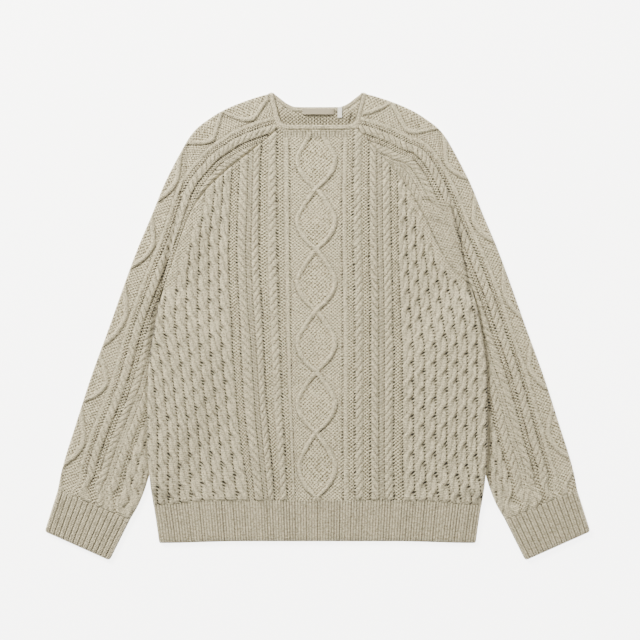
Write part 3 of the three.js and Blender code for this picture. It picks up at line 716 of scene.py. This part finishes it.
def sag(x, y):
    """The seam over the hem lies lower than the form below it, most of all at the sides."""
    a = np.abs(x)
    top = 6.6 + 6.0 * ease((a - 165) / 85)
    end = 2.6 * ease((a - 120) / 120)
    f = unit((HEM_TOP - y) / (HEM_TOP - HEM_END))
    above = top * ease((HEM_TOP + 110 - y) / 100)
    return y - np.where(y >= HEM_TOP, above, top + (end - top) * f)


def corner_cut(d, drop, wide):
    """How far a rounded corner draws a side in, at the distance d from the end."""
    return drop * (1 - dome(unit(1 - d / wide)))


def edge_round(d, drop=1.0):
    """How far the surface drops towards an edge at the distance d."""
    return corner_cut(d, drop, EDGE_SOFT)


def plain_side(x, y, d):
    """The flat stitches beside the raglan seam, wider on the left."""
    wide = np.where(x < 0, 17.0, 12.0)
    return ease((y - 45) / 25) * ease((225 - y) / 45) * ease((wide + 7 - d) / 12)


def front_height(x, y, c, d):
    """Height and marks of the front; d is the distance from its side edge."""
    (high, marks), low = cavity(BODY_PLAN, body_cell, c, y)
    plain = plain_side(x, y, d)
    high = high * (1 - 0.75 * plain)
    marks = marks * (1 - 0.8 * plain[..., None])
    marks[..., 0] += 0.5 * plain
    low = low * (1 - 0.7 * plain)
    neck = ease((FRONT_TOP - y) / 10)
    fade = ease(d / 4) * (0.1 + 0.9 * ease((y - HEM_TOP) / 6)) * neck
    z = TUBE + front_lift(x, y) + (high - 0.5 * marks[..., 3]) * fade - edge_round(d)
    rise, dark = creases(x, y, CREASES_RIGHT)
    rise_left, dark_left = creases(-x, y, CREASES_LEFT)
    z = z + rise + rise_left
    z = z + sway(x, y) * ease(d / 30) * ease((y - HEM_TOP) / 30) * ease((FRONT_TOP - y) / 30)
    # Painted shade in the stitch gaps of the seam over the hem, along the creases, and where the relief
    # lies under its neighbours.
    seam_shade = bell((y - HEM_TOP - 1.2) / 1.4) * ease(0.2 + np.cos(c * 2 * np.pi / SEAM_STITCH))
    marks[..., 2] += 0.3 * low + 0.75 * seam_shade + (dark + dark_left)
    marks[..., 3] += 0.3 * low
    # At the front neck: the picked-up stitches, with painted shade between them.
    picked = ease((15 - FRONT_TOP + y) / 8) * ease((FRONT_TOP - y) / 2 + 0.2)
    picked = picked * ease((56 - np.abs(x)) / 6)
    marks = marks * (1 - picked[..., None])
    marks[..., 2] += picked * (0.08 + 0.9 * (0.5 + 0.5 * np.cos(2 * np.pi * x / EDGE_STITCH)) ** 2)
    return z, unit(marks)


def front_neck(x):
    return FRONT_TOP + 1.4 * ease((np.abs(x) - 40) / 22)


def back_neck(x):
    return BACK_TOP + 6.8 * ease((np.abs(x) - 34) / 17)


front = panel("front_knit", FRONT_TOP, 307.0, front_neck, seam, front_height,
              lambda x, y: WALL + LAYER_GAP + front_lift(x, y), slip=PATTERN_SLIP)


def back_height(x, y, c, d):
    high, marks = relief(BODY_PLAN, body_cell, c, y)
    press = 1.1 * (1 - unit(high / 2.0)) * ease(d / 4) + 0.3 * marks[..., 3]
    # The back's creases carry painted shade as well as rises.
    rise, dark = creases(x, y, CREASES_BACK)
    marks[..., 2] += dark
    z = side_lift(x, y) + press + rise * ease(d / 20) + edge_round(d, 0.7)
    return z, unit(marks)


back = panel("back_knit", BACK_TOP, 340.4, back_neck,
             {"right": seam["back"], "left": seam["back"]}, back_height,
             lambda x, y: WALL + side_lift(x, y), step=2)


# Steps across the inside of a sleeve or cuff: in front, on the back and round the fold.
INSIDE_COUNTS = (16, 10, 4)


def around_fold(nf, nb, nk, front_wide, back_wide):
    """Distances over a flat tube from its folded edge: below 0 on the back, above 0 in front."""
    f = np.linspace(0, 1, nf + 1)
    b = np.linspace(1, 0, nb + 1)
    k = np.linspace(-1, 1, nk + 1)[1:-1]
    return np.concatenate([-(FOLD_RADIUS + (back_wide[:, None] - FOLD_RADIUS) * b),
                           np.broadcast_to(FOLD_RADIUS * k, (len(front_wide), len(k))),
                           FOLD_RADIUS + (front_wide[:, None] - FOLD_RADIUS) * f], 1)


def folded_edge(s, thick):
    """How far in from the folded edge a point lies, and its height."""
    own = FOLD_RADIUS if thick else LAYER_GAP / 2
    a = np.clip(s / FOLD_RADIUS, -1, 1) * np.pi / 2
    inward = np.where(np.abs(s) >= FOLD_RADIUS, np.abs(s), FOLD_RADIUS - own * np.cos(a))
    return inward, FOLD_RADIUS + own * np.sin(a)


def clear_of_body(x, y):
    """0 where the sleeve lies under the body, and 1 where it lies free."""
    free = ease((np.abs(x) - body_side(y) - 1.5) / 7)
    return np.where((y > 45) | (y < -262), 1.0, free)


def chest_fan(x, y, side):
    """Where the sleeve shows the plain back of its stitches, between the raglan seam and the fold."""
    inside = ease((fold_x(np.clip(y, ARMPIT_Y, FOLD_TOP)) - x - 2) / 8)
    high = 1.0 if side == "right" else 0.6
    return high * inside * ease((y - ARMPIT_Y) / 12) * ease((215 - y) / 40)


def sleeve(name, side):
    sign = 1 if side == "right" else -1
    rows = CREASES_RIGHT if sign > 0 else CREASES_LEFT
    t = join([SEAM_GAP], np.arange(2.4, SLEEVE_LONG - 2, 1.75), [SLEEVE_LONG - SEAM_GAP])
    front_w = sleeve_wide(t, seam[side], False) - SEAM_GAP / 2
    back_w = sleeve_wide(t, seam["back"], True) - SEAM_GAP / 2

    def surface(counts, thick, tt, fw, bw):
        s = around_fold(*counts, fw, bw)
        T = np.broadcast_to(tt[:, None], s.shape)
        inward, z = folded_edge(s, thick)
        xf, yf = sleeve_plan(inward, T, False)
        xb, yb = sleeve_plan(inward, T, True)
        isb = s < 0
        x, y = np.where(isb, xb, xf), np.where(isb, yb, yf)
        top = ease(s / FOLD_RADIUS)
        z = z + top * np.where(y > ARMPIT_Y - ARMPIT_SOFT, fold_lift(x, y), 0)
        return s, T, x, y, z, isb, top

    s, T, x, y, z, isb, top = surface((82, 50, 8), True, t, front_w, back_w)
    c = s - sleeve_slide[side](T)
    gather = ease((62 - T) / 50)
    bent = c + 5.0 * gather * np.sin(T / 7.5 + 2.0 * np.sin(c / 17) + sign)
    (high, marks), low = cavity(SLEEVE_PLAN, sleeve_cell(side), bent, T)
    marks[..., 3] *= 0.85 - 0.55 * gather
    low = low * (1 - 0.4 * gather)
    high = high + 0.7 * gather * np.sin(T / 9 + 1.6 * np.sin(c / 13) + 2 * sign) * np.sin(c / 8)
    fan = chest_fan(x, y, side) * top
    high = high * (1 - 0.8 * fan) + 0.5 * fan
    marks[..., 0] = marks[..., 0] * (1 - fan) + 0.45 * fan
    marks[..., 3] = marks[..., 3] * (1 - 0.8 * fan)
    low = low * (1 - 0.8 * fan)
    # Fine lines of painted shade across the fan of plain purl.
    ray = np.cos(2 * np.pi * (y + 0.012 * (x - 185) ** 2) / EDGE_STITCH)
    marks[..., 2] = marks[..., 2] * (1 - 0.8 * fan) + 0.13 * fan * (1 + ray)
    d_end = np.minimum(T, SLEEVE_LONG - T)
    d_side = np.where(isb, back_w[:, None] + s, front_w[:, None] - s)
    clear = clear_of_body(x, y)
    fade = ease(d_side / 4) * ease(d_end / 4)
    raised = high * clear * fade * top
    pressed = (1 - unit(high / 2)) * fade * (1 - top) * ease((-s - FOLD_RADIUS) / 6)
    z = z + raised + pressed - 0.4 * marks[..., 3] * top * clear * fade
    z = z - edge_round(d_side) * top
    # Painted shade along the creases, where the relief lies under its neighbours, and on the sleeve
    # beside the body's side edge, wider and darker on the left.
    rise, dark = creases(x, y, rows)
    off_body = np.clip(x - body_side(np.clip(y, HEM_TOP, ARMPIT_Y)), 0, 99)
    shade_depth = ease((y + 50) / 40) * ease((58 - y) / 16) * (sign < 0)
    shade_beside = bell(off_body / (3.4 + 5.6 * shade_depth))
    shade_beside = shade_beside * ease((ARMPIT_Y - y) / 15) * ease((y + 235) / 40)
    shade_beside = shade_beside * ((0.15 if sign > 0 else 0.4) + 0.2 * shade_depth)
    marks[..., 2] += 0.3 * low + np.maximum(dark * clear, shade_beside) * top
    marks[..., 3] += 0.25 * low
    z = z + rise * top * clear + sway(x * sign, y) * top * ease(d_side / 30) * ease(d_end / 30) * clear
    outer = stack(sign * x, y, z)
    keep = np.unique(join(np.arange(0, len(t), 7), [len(t) - 1]))
    inn = surface(INSIDE_COUNTS, False, t[keep], front_w[keep], back_w[keep])
    inner = stack(sign * inn[2], inn[3], inn[4])
    return grid_slab(name, outer, inner, stack(c, T), unit(marks))


sleeve_right = sleeve("sleeve_right_knit", "right")
sleeve_left = sleeve("sleeve_left_knit", "left")


def shade_only_marks(hollow_shade):
    """Marks of plain stitches with painted shade in their hollows."""
    marks = np.zeros((*hollow_shade.shape, 4))
    marks[..., 2] = hollow_shade
    return marks


def rib_profile(phase):
    """One rib of knit stitches and its hollow, for a phase that grows by one a rib."""
    f = phase - np.floor(phase)
    return dome(np.clip((f - 0.5) / 0.42, -1, 1)) ** 0.8


def rib_shade(phase, wide, middle):
    """The narrow line of painted shade between two ribs, and the fainter one down the middle of each."""
    f = phase - np.floor(phase)
    return bell(np.minimum(f, 1 - f) / wide) + middle * bell((f - 0.5) / wide)


hem_half = curve([HEM_END, -303, HEM_TOP], [246.9, 250.8, 255.6])


def hem(name, front_side):
    f = np.linspace(-1, 1, HEM_RIBS * RIB_POINTS + 1)
    v = join([-0.03, -0.015], np.linspace(0, 0.94, 27), np.linspace(0.96, 1, 4))
    F, V = np.meshgrid(f, v)
    y = HEM_TOP + (HEM_END - HEM_TOP) * V
    joined = ease(1 - V / 0.02)
    x = F * (hem_half(y) - corner_cut(y - HEM_END, 2.4, 4))
    phase = (F + 1) / 2 * HEM_RIBS
    crest = rib_profile(phase * 2) * (0.9 + 0.1 * np.cos(2 * np.pi * phase))
    d = hem_half(y) - np.abs(x)
    end = ease((y - HEM_END) / 5)
    wob = 0.25 * np.sin(x / 9 + 1.7 * np.sin(x / 31)) * ease((HEM_TOP - y) / 20)
    uneven = 0.8 + 0.2 * np.sin(np.round(phase) * 2.4 + 2 * np.sin(np.round(phase) * 0.9))
    # Painted shade between the ribs.
    marks = shade_only_marks(rib_shade(phase, 0.11, 0.8) * uneven)
    if front_side:
        z = TUBE - RIB_HIGH / 2 + RIB_HIGH * crest * (0.55 + 0.45 * end) + wob
        z = z - (1 - end) * 0.9 - edge_round(d) - 0.15 * joined
        y = y + 0.5 * crest * (1 - end)
        low = WALL + LAYER_GAP
    else:
        z = (1 - crest) + edge_round(d, 0.7) + 0.3 * joined
        low = WALL
    outer = stack(x, sag(x, y), z)[::-1]
    FC, VC = np.meshgrid(np.linspace(-1, 1, 41), np.linspace(1, 0, 7))
    yc = HEM_TOP + (HEM_END - HEM_TOP) * VC
    inside = 2.4 * ease((HEM_END + 4 - yc) / 4)
    xc = FC * (hem_half(yc) - inside)
    inner = stack(xc, sag(xc, yc), np.full(FC.shape, low))
    knit = stack(phase * HEM_PITCH, y)[::-1]
    return grid_slab(name, outer, inner, knit, marks[::-1])


hem_front = hem("hem_rib_front_knit", True)
hem_back = hem("hem_rib_back_knit", False)

CUFF_TOP = (np.array([405.7, -256.7]), np.array([293.3, -303.8]))
CUFF_END = (np.array([425.8, -320.3]), np.array([324.2, -365.6]))


def cuff(name, side):
    sign = 1 if side == "right" else -1

    def surface(vs, counts, thick):
        a = CUFF_TOP[0] + (CUFF_END[0] - CUFF_TOP[0]) * vs[:, None]
        e = CUFF_TOP[1] + (CUFF_END[1] - CUFF_TOP[1]) * vs[:, None]
        way = (e - a) / np.linalg.norm(e - a, axis=1)[:, None]
        corner = corner_cut((1 - vs[:, None]) * CUFF_LONG, 3.2, 5)
        a = a + way * corner
        e = e - way * corner
        wide = np.linalg.norm(e - a, axis=1)
        s = around_fold(*counts, wide, wide)
        inward, z = folded_edge(s, thick)
        x = a[:, :1] + way[:, :1] * inward
        y = a[:, 1:] + way[:, 1:] * inward
        return s, x, y, z, wide[:, None]

    vs = join([-0.035, -0.02], np.linspace(0, 0.93, 27), np.linspace(0.95, 1, 5))
    counts = (CUFF_RIBS * RIB_POINTS, CUFF_RIBS * BACK_RIB_POINTS, 8)
    s, x, y, z, wide = surface(vs, counts, True)
    V = np.broadcast_to(vs[:, None], s.shape)
    top = ease(s / FOLD_RADIUS)
    phase = s / wide * CUFF_RIBS
    crest = 0.7 * rib_profile(phase) + 0.3 * rib_profile(phase * 2)
    d = wide - np.abs(s)
    end = ease((1 - V) / 0.08)
    joined = ease(1 - V / 0.02)
    fade = ease(np.abs(s) / FOLD_RADIUS - 0.6)
    front_z = (-RIB_HIGH / 2 + RIB_HIGH * crest * (0.55 + 0.45 * end) - (1 - end) * 0.8) * fade
    front_z = front_z - 0.15 * joined
    wob = 0.3 * np.sin(s / 13 + 2.1) * np.sin(V * 3.1) * fade
    back_z = (1 - crest) * ease((-s - FOLD_RADIUS) / 6) + 0.3 * joined
    z = z + top * (front_z + wob - edge_round(d)) + (1 - top) * back_z
    outer = stack(sign * x, y, z)
    inn = surface(np.linspace(0, 1, 6), INSIDE_COUNTS, False)
    inner = stack(sign * inn[1], inn[2], inn[3])
    knit = stack(phase * CUFF_PITCH, V * CUFF_LONG)
    # Painted shade between the ribs, fading round the fold and at the seam.
    marks = shade_only_marks(0.95 * rib_shade(phase, 0.12, 0.5) * fade * ease((V + 0.03) / 0.05))
    return grid_slab(name, outer, inner, knit, marks)


cuff_right = cuff("cuff_right_knit", "right")
cuff_left = cuff("cuff_left_knit", "left")

# x and y of the band's outer edge, then of its inner edge, on the right half.
BACK_NECK_BAND = [(0, 341.8, 0, 334.1), (18, 341.8, 18, 334.1), (35, 342.2, 36.5, 334.8),
                  (41, 344, 46, 339.2)]
FRONT_NECK_BAND = [(57, 319.5, 65.4, 314), (52.5, 315.6, 62.4, 307.7), (46, 314, 50, 306.5),
                   (30, 313.8, 30, 306.2), (15, 313.8, 15, 306.2), (0, 313.8, 0, 306.2)]


def neckband():
    """A ring rolled over the neck edges, from the middle of the back to that of the front."""
    up = np.array(PEAK) - OUTER_EDGE[-1, :2]
    half = [(*row, -90) for row in BACK_NECK_BAND]
    over = [(26, -90), (14, -90)] + [(FOLD_RADIUS, turn) for turn in (-90, -45, 0, 45, 90)]
    for s, turn in over + [(14, 90), (26, 90), (38, 90)]:
        x, y = sleeve_plan(np.array(float(s)), np.array(SLEEVE_LONG), turn < 0)
        half.append((float(x) + up[0], float(y) + up[1], float(x), float(y), turn))
    half.extend((*row, 90) for row in FRONT_NECK_BAND)
    half = np.array(half, float)
    far = np.linalg.norm(np.diff(half[:, 2:4], axis=0), axis=1)
    where = join([0], np.cumsum(far + 0.06 * np.abs(np.diff(half[:, 4]))))
    n = 300
    at = np.linspace(0, where[-1], n)
    fine = np.stack([curve(where, half[:, i])(at) for i in range(5)], -1)
    left = fine[1:-1][::-1] * np.array([-1, 1, -1, 1, 1])
    ring = join(fine, left)
    side = join(np.ones(n), -np.ones(n - 2))
    run = join(at, 2 * where[-1] - at[1:-1][::-1])
    turn = np.radians(ring[:, 4])
    lean = math.radians(float(edge_lean(SLEEVE_LONG)))
    flat = stack(-math.cos(lean) * side, np.full(len(side), -math.sin(lean)))
    across = np.array([(0.0, -0.3), (0.06, 0.3), (0.16, 0.7), (0.28, 0.95), (0.42, 1.0),
                       (0.56, 0.9), (0.7, 0.7), (0.85, 0.4), (0.99, 0.1)])
    rib = 0.5 + 0.5 * np.cos(2 * np.pi * run / BAND_RIB)
    lines = []
    for f, raised in across:
        roll = np.where(np.sin(turn) > 0, raised * 1.2, min(raised, 0.0))
        low = ease((f - 0.45) / 0.3)
        depth = FOLD_RADIUS + roll + low * (rib - np.where(np.sin(turn) > 0, 0.5, 1.0)) * 0.8
        lines.append((f, depth))
    for f in (0.99, 0.6, 0.3, 0.0):
        lines.append((f, np.full(len(ring), LAYER_GAP / 2)))
    pts = []
    knits = []
    for f, depth in lines:
        x = ring[:, 0] + (ring[:, 2] - ring[:, 0]) * f + flat[:, 0] * np.cos(turn) * depth
        y = ring[:, 1] + (ring[:, 3] - ring[:, 1]) * f + flat[:, 1] * np.cos(turn) * depth
        pts.append(stack(x, y, FOLD_RADIUS + np.sin(turn) * depth))
        knits.append(stack(run, np.full(len(run), f * 8)))
    grid = np.array(pts).transpose(1, 0, 2)
    knit = np.array(knits).transpose(1, 0, 2)
    # Painted shade: faint lines between the ribs on the band's inner rows, a line along the inner rim of
    # its front, and more of it on the right half towards the front.
    hollow_shade = np.zeros(grid.shape[:2])
    hollow_shade[:, 7:9] = (0.15 * (1 - rib))[:, None]
    front = ease(np.sin(turn) + 0.2)
    hollow_shade[:, 0] = 0.75 * front
    hollow_shade[:, 1] = 0.4 * front
    shaded = front * (side > 0) * ease((ring[:, 1] - 316) / 8)
    hollow_shade[:, :3] += shaded[:, None] * np.array([0.3, 0.5, 0.7])
    shell = Shell()
    index = shell.add(grid, knit, shade_only_marks(unit(hollow_shade)))
    closed = np.concatenate([index, index[:1]], 0)
    closed = np.concatenate([closed, closed[:, :1]], 1)
    shell.quads(closed)
    return shell.build("neckband_knit")


band = neckband()


def tag(name, x, y, wide, long, thick, curl):
    """A woven tag with a slightly lifted middle and soft rims."""
    nx, ny = 40, 14
    U, V = np.meshgrid(np.linspace(-1, 1, nx + 1), np.linspace(-1, 1, ny + 1))
    base = WALL + 0.35
    lift = curl * (1 - U**6) * (0.5 - 0.5 * V)
    rim = 0.12 * (np.abs(U) > 0.97) + 0.12 * (np.abs(V) > 0.93)
    across, along = U * wide / 2, V * long / 2
    top = stack(x + across, y + along, base + thick + lift - rim)
    low = stack(x + across, y + along, base + lift)
    hollow_shade = 0.5 * ((np.abs(np.abs(U) - 0.94) < 0.02) & (np.round(V * ny) % 2 == 0))
    return grid_slab(name, top, low, stack(across, along), shade_only_marks(hollow_shade))


label = tag("neck_label_woven", 1.2, 334.7, 50, 10, 0.6, 1.9)
tab = tag("size_tab_woven", 34.9, 333, 6.8, 17, 0.8, 0.2)


class Nodes:
    """Short calls for the nodes of one material."""

    def __init__(self, name):
        self.material = bpy.data.materials.new(name)
        self.material.use_nodes = True
        self.tree = self.material.node_tree
        self.tree.nodes.clear()

    def node(self, kind, **values):
        made = self.tree.nodes.new(kind)
        for key, value in values.items():
            setattr(made, key, value)
        return made

    def put(self, socket, value):
        if isinstance(value, bpy.types.NodeSocket):
            self.tree.links.new(value, socket)
        else:
            socket.default_value = value

    def math(self, operation, *values):
        made = self.node("ShaderNodeMath", operation=operation)
        for socket, value in zip(made.inputs, values):
            self.put(socket, value)
        return made.outputs[0]

    def add(self, a, b):
        return self.math("ADD", a, b)

    def less(self, a, b):
        return self.math("SUBTRACT", a, b)

    def times(self, a, b):
        return self.math("MULTIPLY", a, b)

    def scaled(self, a, b, more):
        return self.math("MULTIPLY_ADD", a, b, more)

    def within(self, value):
        """The value held between 0 and 1 by its own node."""
        value.node.use_clamp = True
        return value

    def mix(self, f, a, b):
        made = self.node("ShaderNodeMix", data_type="RGBA")
        for i, value in ((0, f), (6, a), (7, b)):
            self.put(made.inputs[i], value)
        return made.outputs[2]

    def place(self):
        return self.node("ShaderNodeTexCoord").outputs["Object"]

    def stitch(self):
        """Across and along the knitted face, in units of UV_UNIT millimetres."""
        split = self.node("ShaderNodeSeparateXYZ")
        self.put(split.inputs[0], self.node("ShaderNodeUVMap", uv_map="knit").outputs[0])
        return split.outputs[0], split.outputs[1]

    def fill(self, made, sockets):
        for key, value in sockets.items():
            self.put(made.inputs[key], value)
        return made.outputs[0]

    def noise(self, vector, scale, detail=2.0, rough=0.5):
        return self.fill(self.node("ShaderNodeTexNoise"), {
            "Vector": vector, "Scale": scale, "Detail": detail, "Roughness": rough})

    def bump(self, height, strength, distance):
        return self.fill(self.node("ShaderNodeBump"), {
            "Height": height, "Strength": strength, "Distance": distance})

    def finished(self, sockets):
        """The material, with a value or a link for each named socket of its shader."""
        shader = self.fill(self.node("ShaderNodeBsdfPrincipled"), sockets)
        self.put(self.node("ShaderNodeOutputMaterial").inputs["Surface"], shader)
        return self.material


def per(pitch):
    """What turns a stitch coordinate into an angle that goes once round in a pitch."""
    return 2 * math.pi * UV_UNIT / pitch


def yarn(name, light, dark, hole, bump):
    """Knitted yarn: purl, seed and plain stitches placed by the marks of the mesh, with the painted
    shade that the marks carry.
    """
    n = Nodes(name)
    u0, v0 = n.stitch()
    place = n.place()
    marks = n.node("ShaderNodeVertexColor", layer_name="marks")
    part = n.node("ShaderNodeSeparateColor")
    n.put(part.inputs[0], marks.outputs[0])
    purl, seed, hollow_shade = part.outputs[0], part.outputs[1], part.outputs[2]
    dotted_shade = marks.outputs[1]
    warp = n.times(n.less(n.noise(place, 90.0), 0.5), 0.02)
    u = n.add(u0, warp)
    v = n.add(v0, warp)

    def wave(a, pitch, shift=0.0):
        return n.math("SINE", n.scaled(a, per(pitch), shift))
    bumps = n.scaled(n.times(wave(u, 6.3), wave(v, 5.1)), 0.5, 0.5)
    jitter = n.times(n.less(n.noise(place, 260.0, 1.0), 0.5), 0.05)
    seeds = n.scaled(n.times(wave(n.add(u, jitter), 6.2), wave(n.add(v, jitter), 5.9)), 0.5, 0.5)
    slant = n.scaled(n.math("ABSOLUTE", u0), -per(9), n.times(n.noise(place, 130.0, 1.0), 5.0))
    shade_dash = n.within(n.times(n.add(wave(v, 4.9, slant), 0.45), 2.0))
    some = n.within(n.times(n.less(n.noise(place, 170.0, 1.0), 0.27), 2.9))
    shade_dash = n.times(shade_dash, n.scaled(some, 0.85, 0.45))
    rows = n.math("ABSOLUTE", wave(u, 5.2))
    vees = n.scaled(wave(v, 2.6, n.times(rows, 2.2)), 0.5, 0.5)
    fuzz = n.noise(place, 1500.0, 3.0, 0.7)
    clump = n.noise(place, 390.0, 2.0, 0.7)
    plain = n.less(1.0, n.math("MAXIMUM", purl, seed))
    height = n.times(vees, n.times(plain, 0.35))
    height = n.add(height, n.times(bumps, purl))
    height = n.add(height, n.times(seeds, n.times(seed, 0.3)))
    height = n.add(height, n.times(fuzz, 0.35))
    height = n.add(height, n.times(clump, 0.7))

    # Painted shade in the pits of purl and seed stitches and between the legs of plain stitches, with a
    # random grain that is darker where the yarn lies lower; it mixes the yarn's colour towards its dark
    # tone.
    pits = n.math("POWER", n.less(1.0, bumps), 2.2)
    shade = n.times(pits, n.times(purl, 1.2))
    pits = n.math("POWER", n.less(1.0, seeds), 2.8)
    shade = n.add(shade, n.times(pits, n.times(seed, 1.5)))
    shade = n.add(shade, n.times(n.less(1.0, vees), n.times(plain, 0.25)))
    shade = n.within(n.add(shade, n.times(n.less(0.63, clump), 2.0)))
    tone = n.mix(shade, light, dark)
    heather = n.within(n.times(n.less(n.noise(place, 60.0, 3.0, 0.6), 0.42), 1.4))
    warm = [min(1.0, a * b) for a, b in zip(light[:3], (1.04, 1.0, 0.95))] + [1.0]
    tone = n.mix(n.times(heather, 0.35), tone, warm)
    # Painted shade of hollows, creases, holes and dotted lines from the marks, towards the near-black
    # shade colour.
    shade_depth = n.within(n.add(n.times(hollow_shade, 0.9), n.times(shade_dash, n.times(dotted_shade, 1.5))))
    return n.finished({
        "Base Color": n.mix(n.times(shade_depth, 0.95), tone, hole),
        "Roughness": 0.92,
        "Specular IOR Level": 0.18,
        "Sheen Weight": 0.25,
        "Sheen Roughness": 0.55,
        "Sheen Tint": (0.95, 0.92, 0.86, 1.0),
        "Normal": n.bump(height, bump, 0.0022),
    })


def woven(name, light, dark, pitch):
    """A tightly woven tag."""
    n = Nodes(name)
    u, v = n.stitch()
    weft, warp = (n.math("SINE", n.times(a, per(pitch))) for a in (u, v))
    weave = n.scaled(n.times(weft, warp), 0.5, 0.5)
    f = n.add(n.times(weave, 0.4), n.times(n.noise(n.place(), 300.0), 0.4))
    return n.finished({
        "Base Color": n.mix(f, light, dark),
        "Roughness": 0.62,
        "Sheen Weight": 0.15,
        "Normal": n.bump(weave, 0.4, 0.0002),
    })


def colour(r, g, b):
    """A picture colour of 0 to 255 as a shader colour."""
    def one(v):
        v = v / 255
        return v / 12.92 if v <= 0.04045 else ((v + 0.055) / 1.055) ** 2.4
    return [one(r), one(g), one(b), 1.0]


# Each yarn: its own colour, its darker tone for painted stitch shade and grain, the near-black colour of
# painted shade in hollows and holes, and the strength of its bump.
body_yarn = yarn("knit_yarn", colour(241, 232, 200), colour(98, 90, 69), colour(14, 11, 8), 1.0)
sleeve_yarn = yarn("sleeve_yarn", colour(239, 230, 198), colour(97, 89, 69), colour(16, 12, 8), 1.0)
rib_yarn = yarn("rib_yarn", colour(228, 219, 189), colour(92, 84, 66), colour(24, 20, 13), 0.8)
label_cloth = woven("label_cloth", colour(160, 151, 131), colour(133, 124, 106), 0.9)
tab_cloth = woven("tab_cloth", colour(240, 239, 235), colour(222, 221, 216), 0.8)

PIECES = [
    # piece, CAD node, slot, material
    (front, "front_panel", "knit_front", body_yarn),
    (back, "back_panel", "knit_back", body_yarn),
    (sleeve_right, "sleeve_right", "knit_sleeve", sleeve_yarn),
    (sleeve_left, "sleeve_left", "knit_sleeve", sleeve_yarn),
    (hem_front, "hem_rib_front", "rib", rib_yarn),
    (hem_back, "hem_rib_back", "rib", rib_yarn),
    (cuff_right, "cuff_right", "rib", rib_yarn),
    (cuff_left, "cuff_left", "rib", rib_yarn),
    (band, "neckband", "rib", rib_yarn),
    (label, "neck_label", "woven_label", label_cloth),
    (tab, "size_tab", "white_tab", tab_cloth),
]
for piece, node, slot, material in PIECES:
    piece.data.materials.append(material)
    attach(piece, "root")
    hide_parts(node)


def stage_sheet(name, points, high, material):
    """A flat sheet of the stage, from points in metres."""
    mesh = bpy.data.meshes.new(name)
    mesh.from_pydata([(x, y, high) for x, y in points], [], [list(range(len(points)))])
    mesh.materials.append(material)
    add_object(name, mesh)


def matt(name, scale, one, two, **more):
    """A matt sheet with two soft greys."""
    n = Nodes(name)
    tone = n.mix(n.noise(n.place(), scale), [*one, 1], [*two, 1])
    return n.finished({"Base Color": tone, "Roughness": 0.9, **more})


def floor():
    """A white floor that shines, as the photograph's ground is pure white."""
    far = 24.0
    corners = [(-far, -far), (far, -far), (far, far), (-far, far)]
    shine = {"Emission Color": (1, 1, 1, 1), "Emission Strength": 5.0}
    stage_sheet("floor", corners, -0.0004,
                matt("floor_paper", 2.0, (0.93, 0.93, 0.93), (0.95, 0.95, 0.95), **shine))


floor()


def shade_sheet():
    """A grey sheet just inside the garment's outline, painted shade that shows at its seams and gaps, so
    that no floor shines through them.
    """
    right = [(x - 3, y) for x, y, _ in OUTER_EDGE]
    right = right[1:-3] + [(96, 353), (72, 358), (58, 350)]
    side = [(float(body_side(y)) - 3, y) for y in (-262, -240, -229)]
    arm = [(float(sleeve_inner(y)) + 3, y) for y in (-229, -253, -278, -300)]
    hand = [(297, -306), (326, -361), (422, -319), (403, -259)]
    loop = [(240, -330), (250, -264)] + side + arm + hand + right + [(40, 340), (0, 338.5)]
    loop = loop + [(-x, y) for x, y in loop[::-1][1:]]
    stage_sheet("under_shade_sheet", [(x / METRE, y / METRE) for x, y in loop], -0.0002,
                matt("under_shade_sheet", 20.0, (0.2, 0.18, 0.15), (0.24, 0.22, 0.19)))


shade_sheet()


def lamp(name, at, size, power, tint):
    """A square lamp that points at the middle of the garment."""
    data = bpy.data.lights.new(name, "AREA")
    data.shape = "SQUARE"
    data.size = size
    data.energy = power
    data.color = tint
    made = add_object(name, data)
    made.location = at
    made.rotation_euler = (-Vector(at)).to_track_quat("-Z", "Y").to_euler()


lamp("key", (-2.0, 2.55, 1.9), 1.2, 402, (1.0, 0.955, 0.84))
lamp("side", (2.4, 0.9, 2.2), 1.4, 70, (1.0, 0.955, 0.86))

world = bpy.data.worlds.new("studio")
bpy.context.scene.world = world
world.use_nodes = True
sky = world.node_tree.nodes["Background"]
sky.inputs[0].default_value = (1.0, 0.965, 0.89, 1)
sky.inputs[1].default_value = 0.35

camera_data = bpy.data.cameras.new("camera")
camera_data.lens = 85
camera_data.sensor_width = 36
camera = add_object("camera", camera_data)
camera.location = (0.0039, 0.0094, 2.361)
camera.rotation_euler = (0, 0, 0)
bpy.context.scene.camera = camera
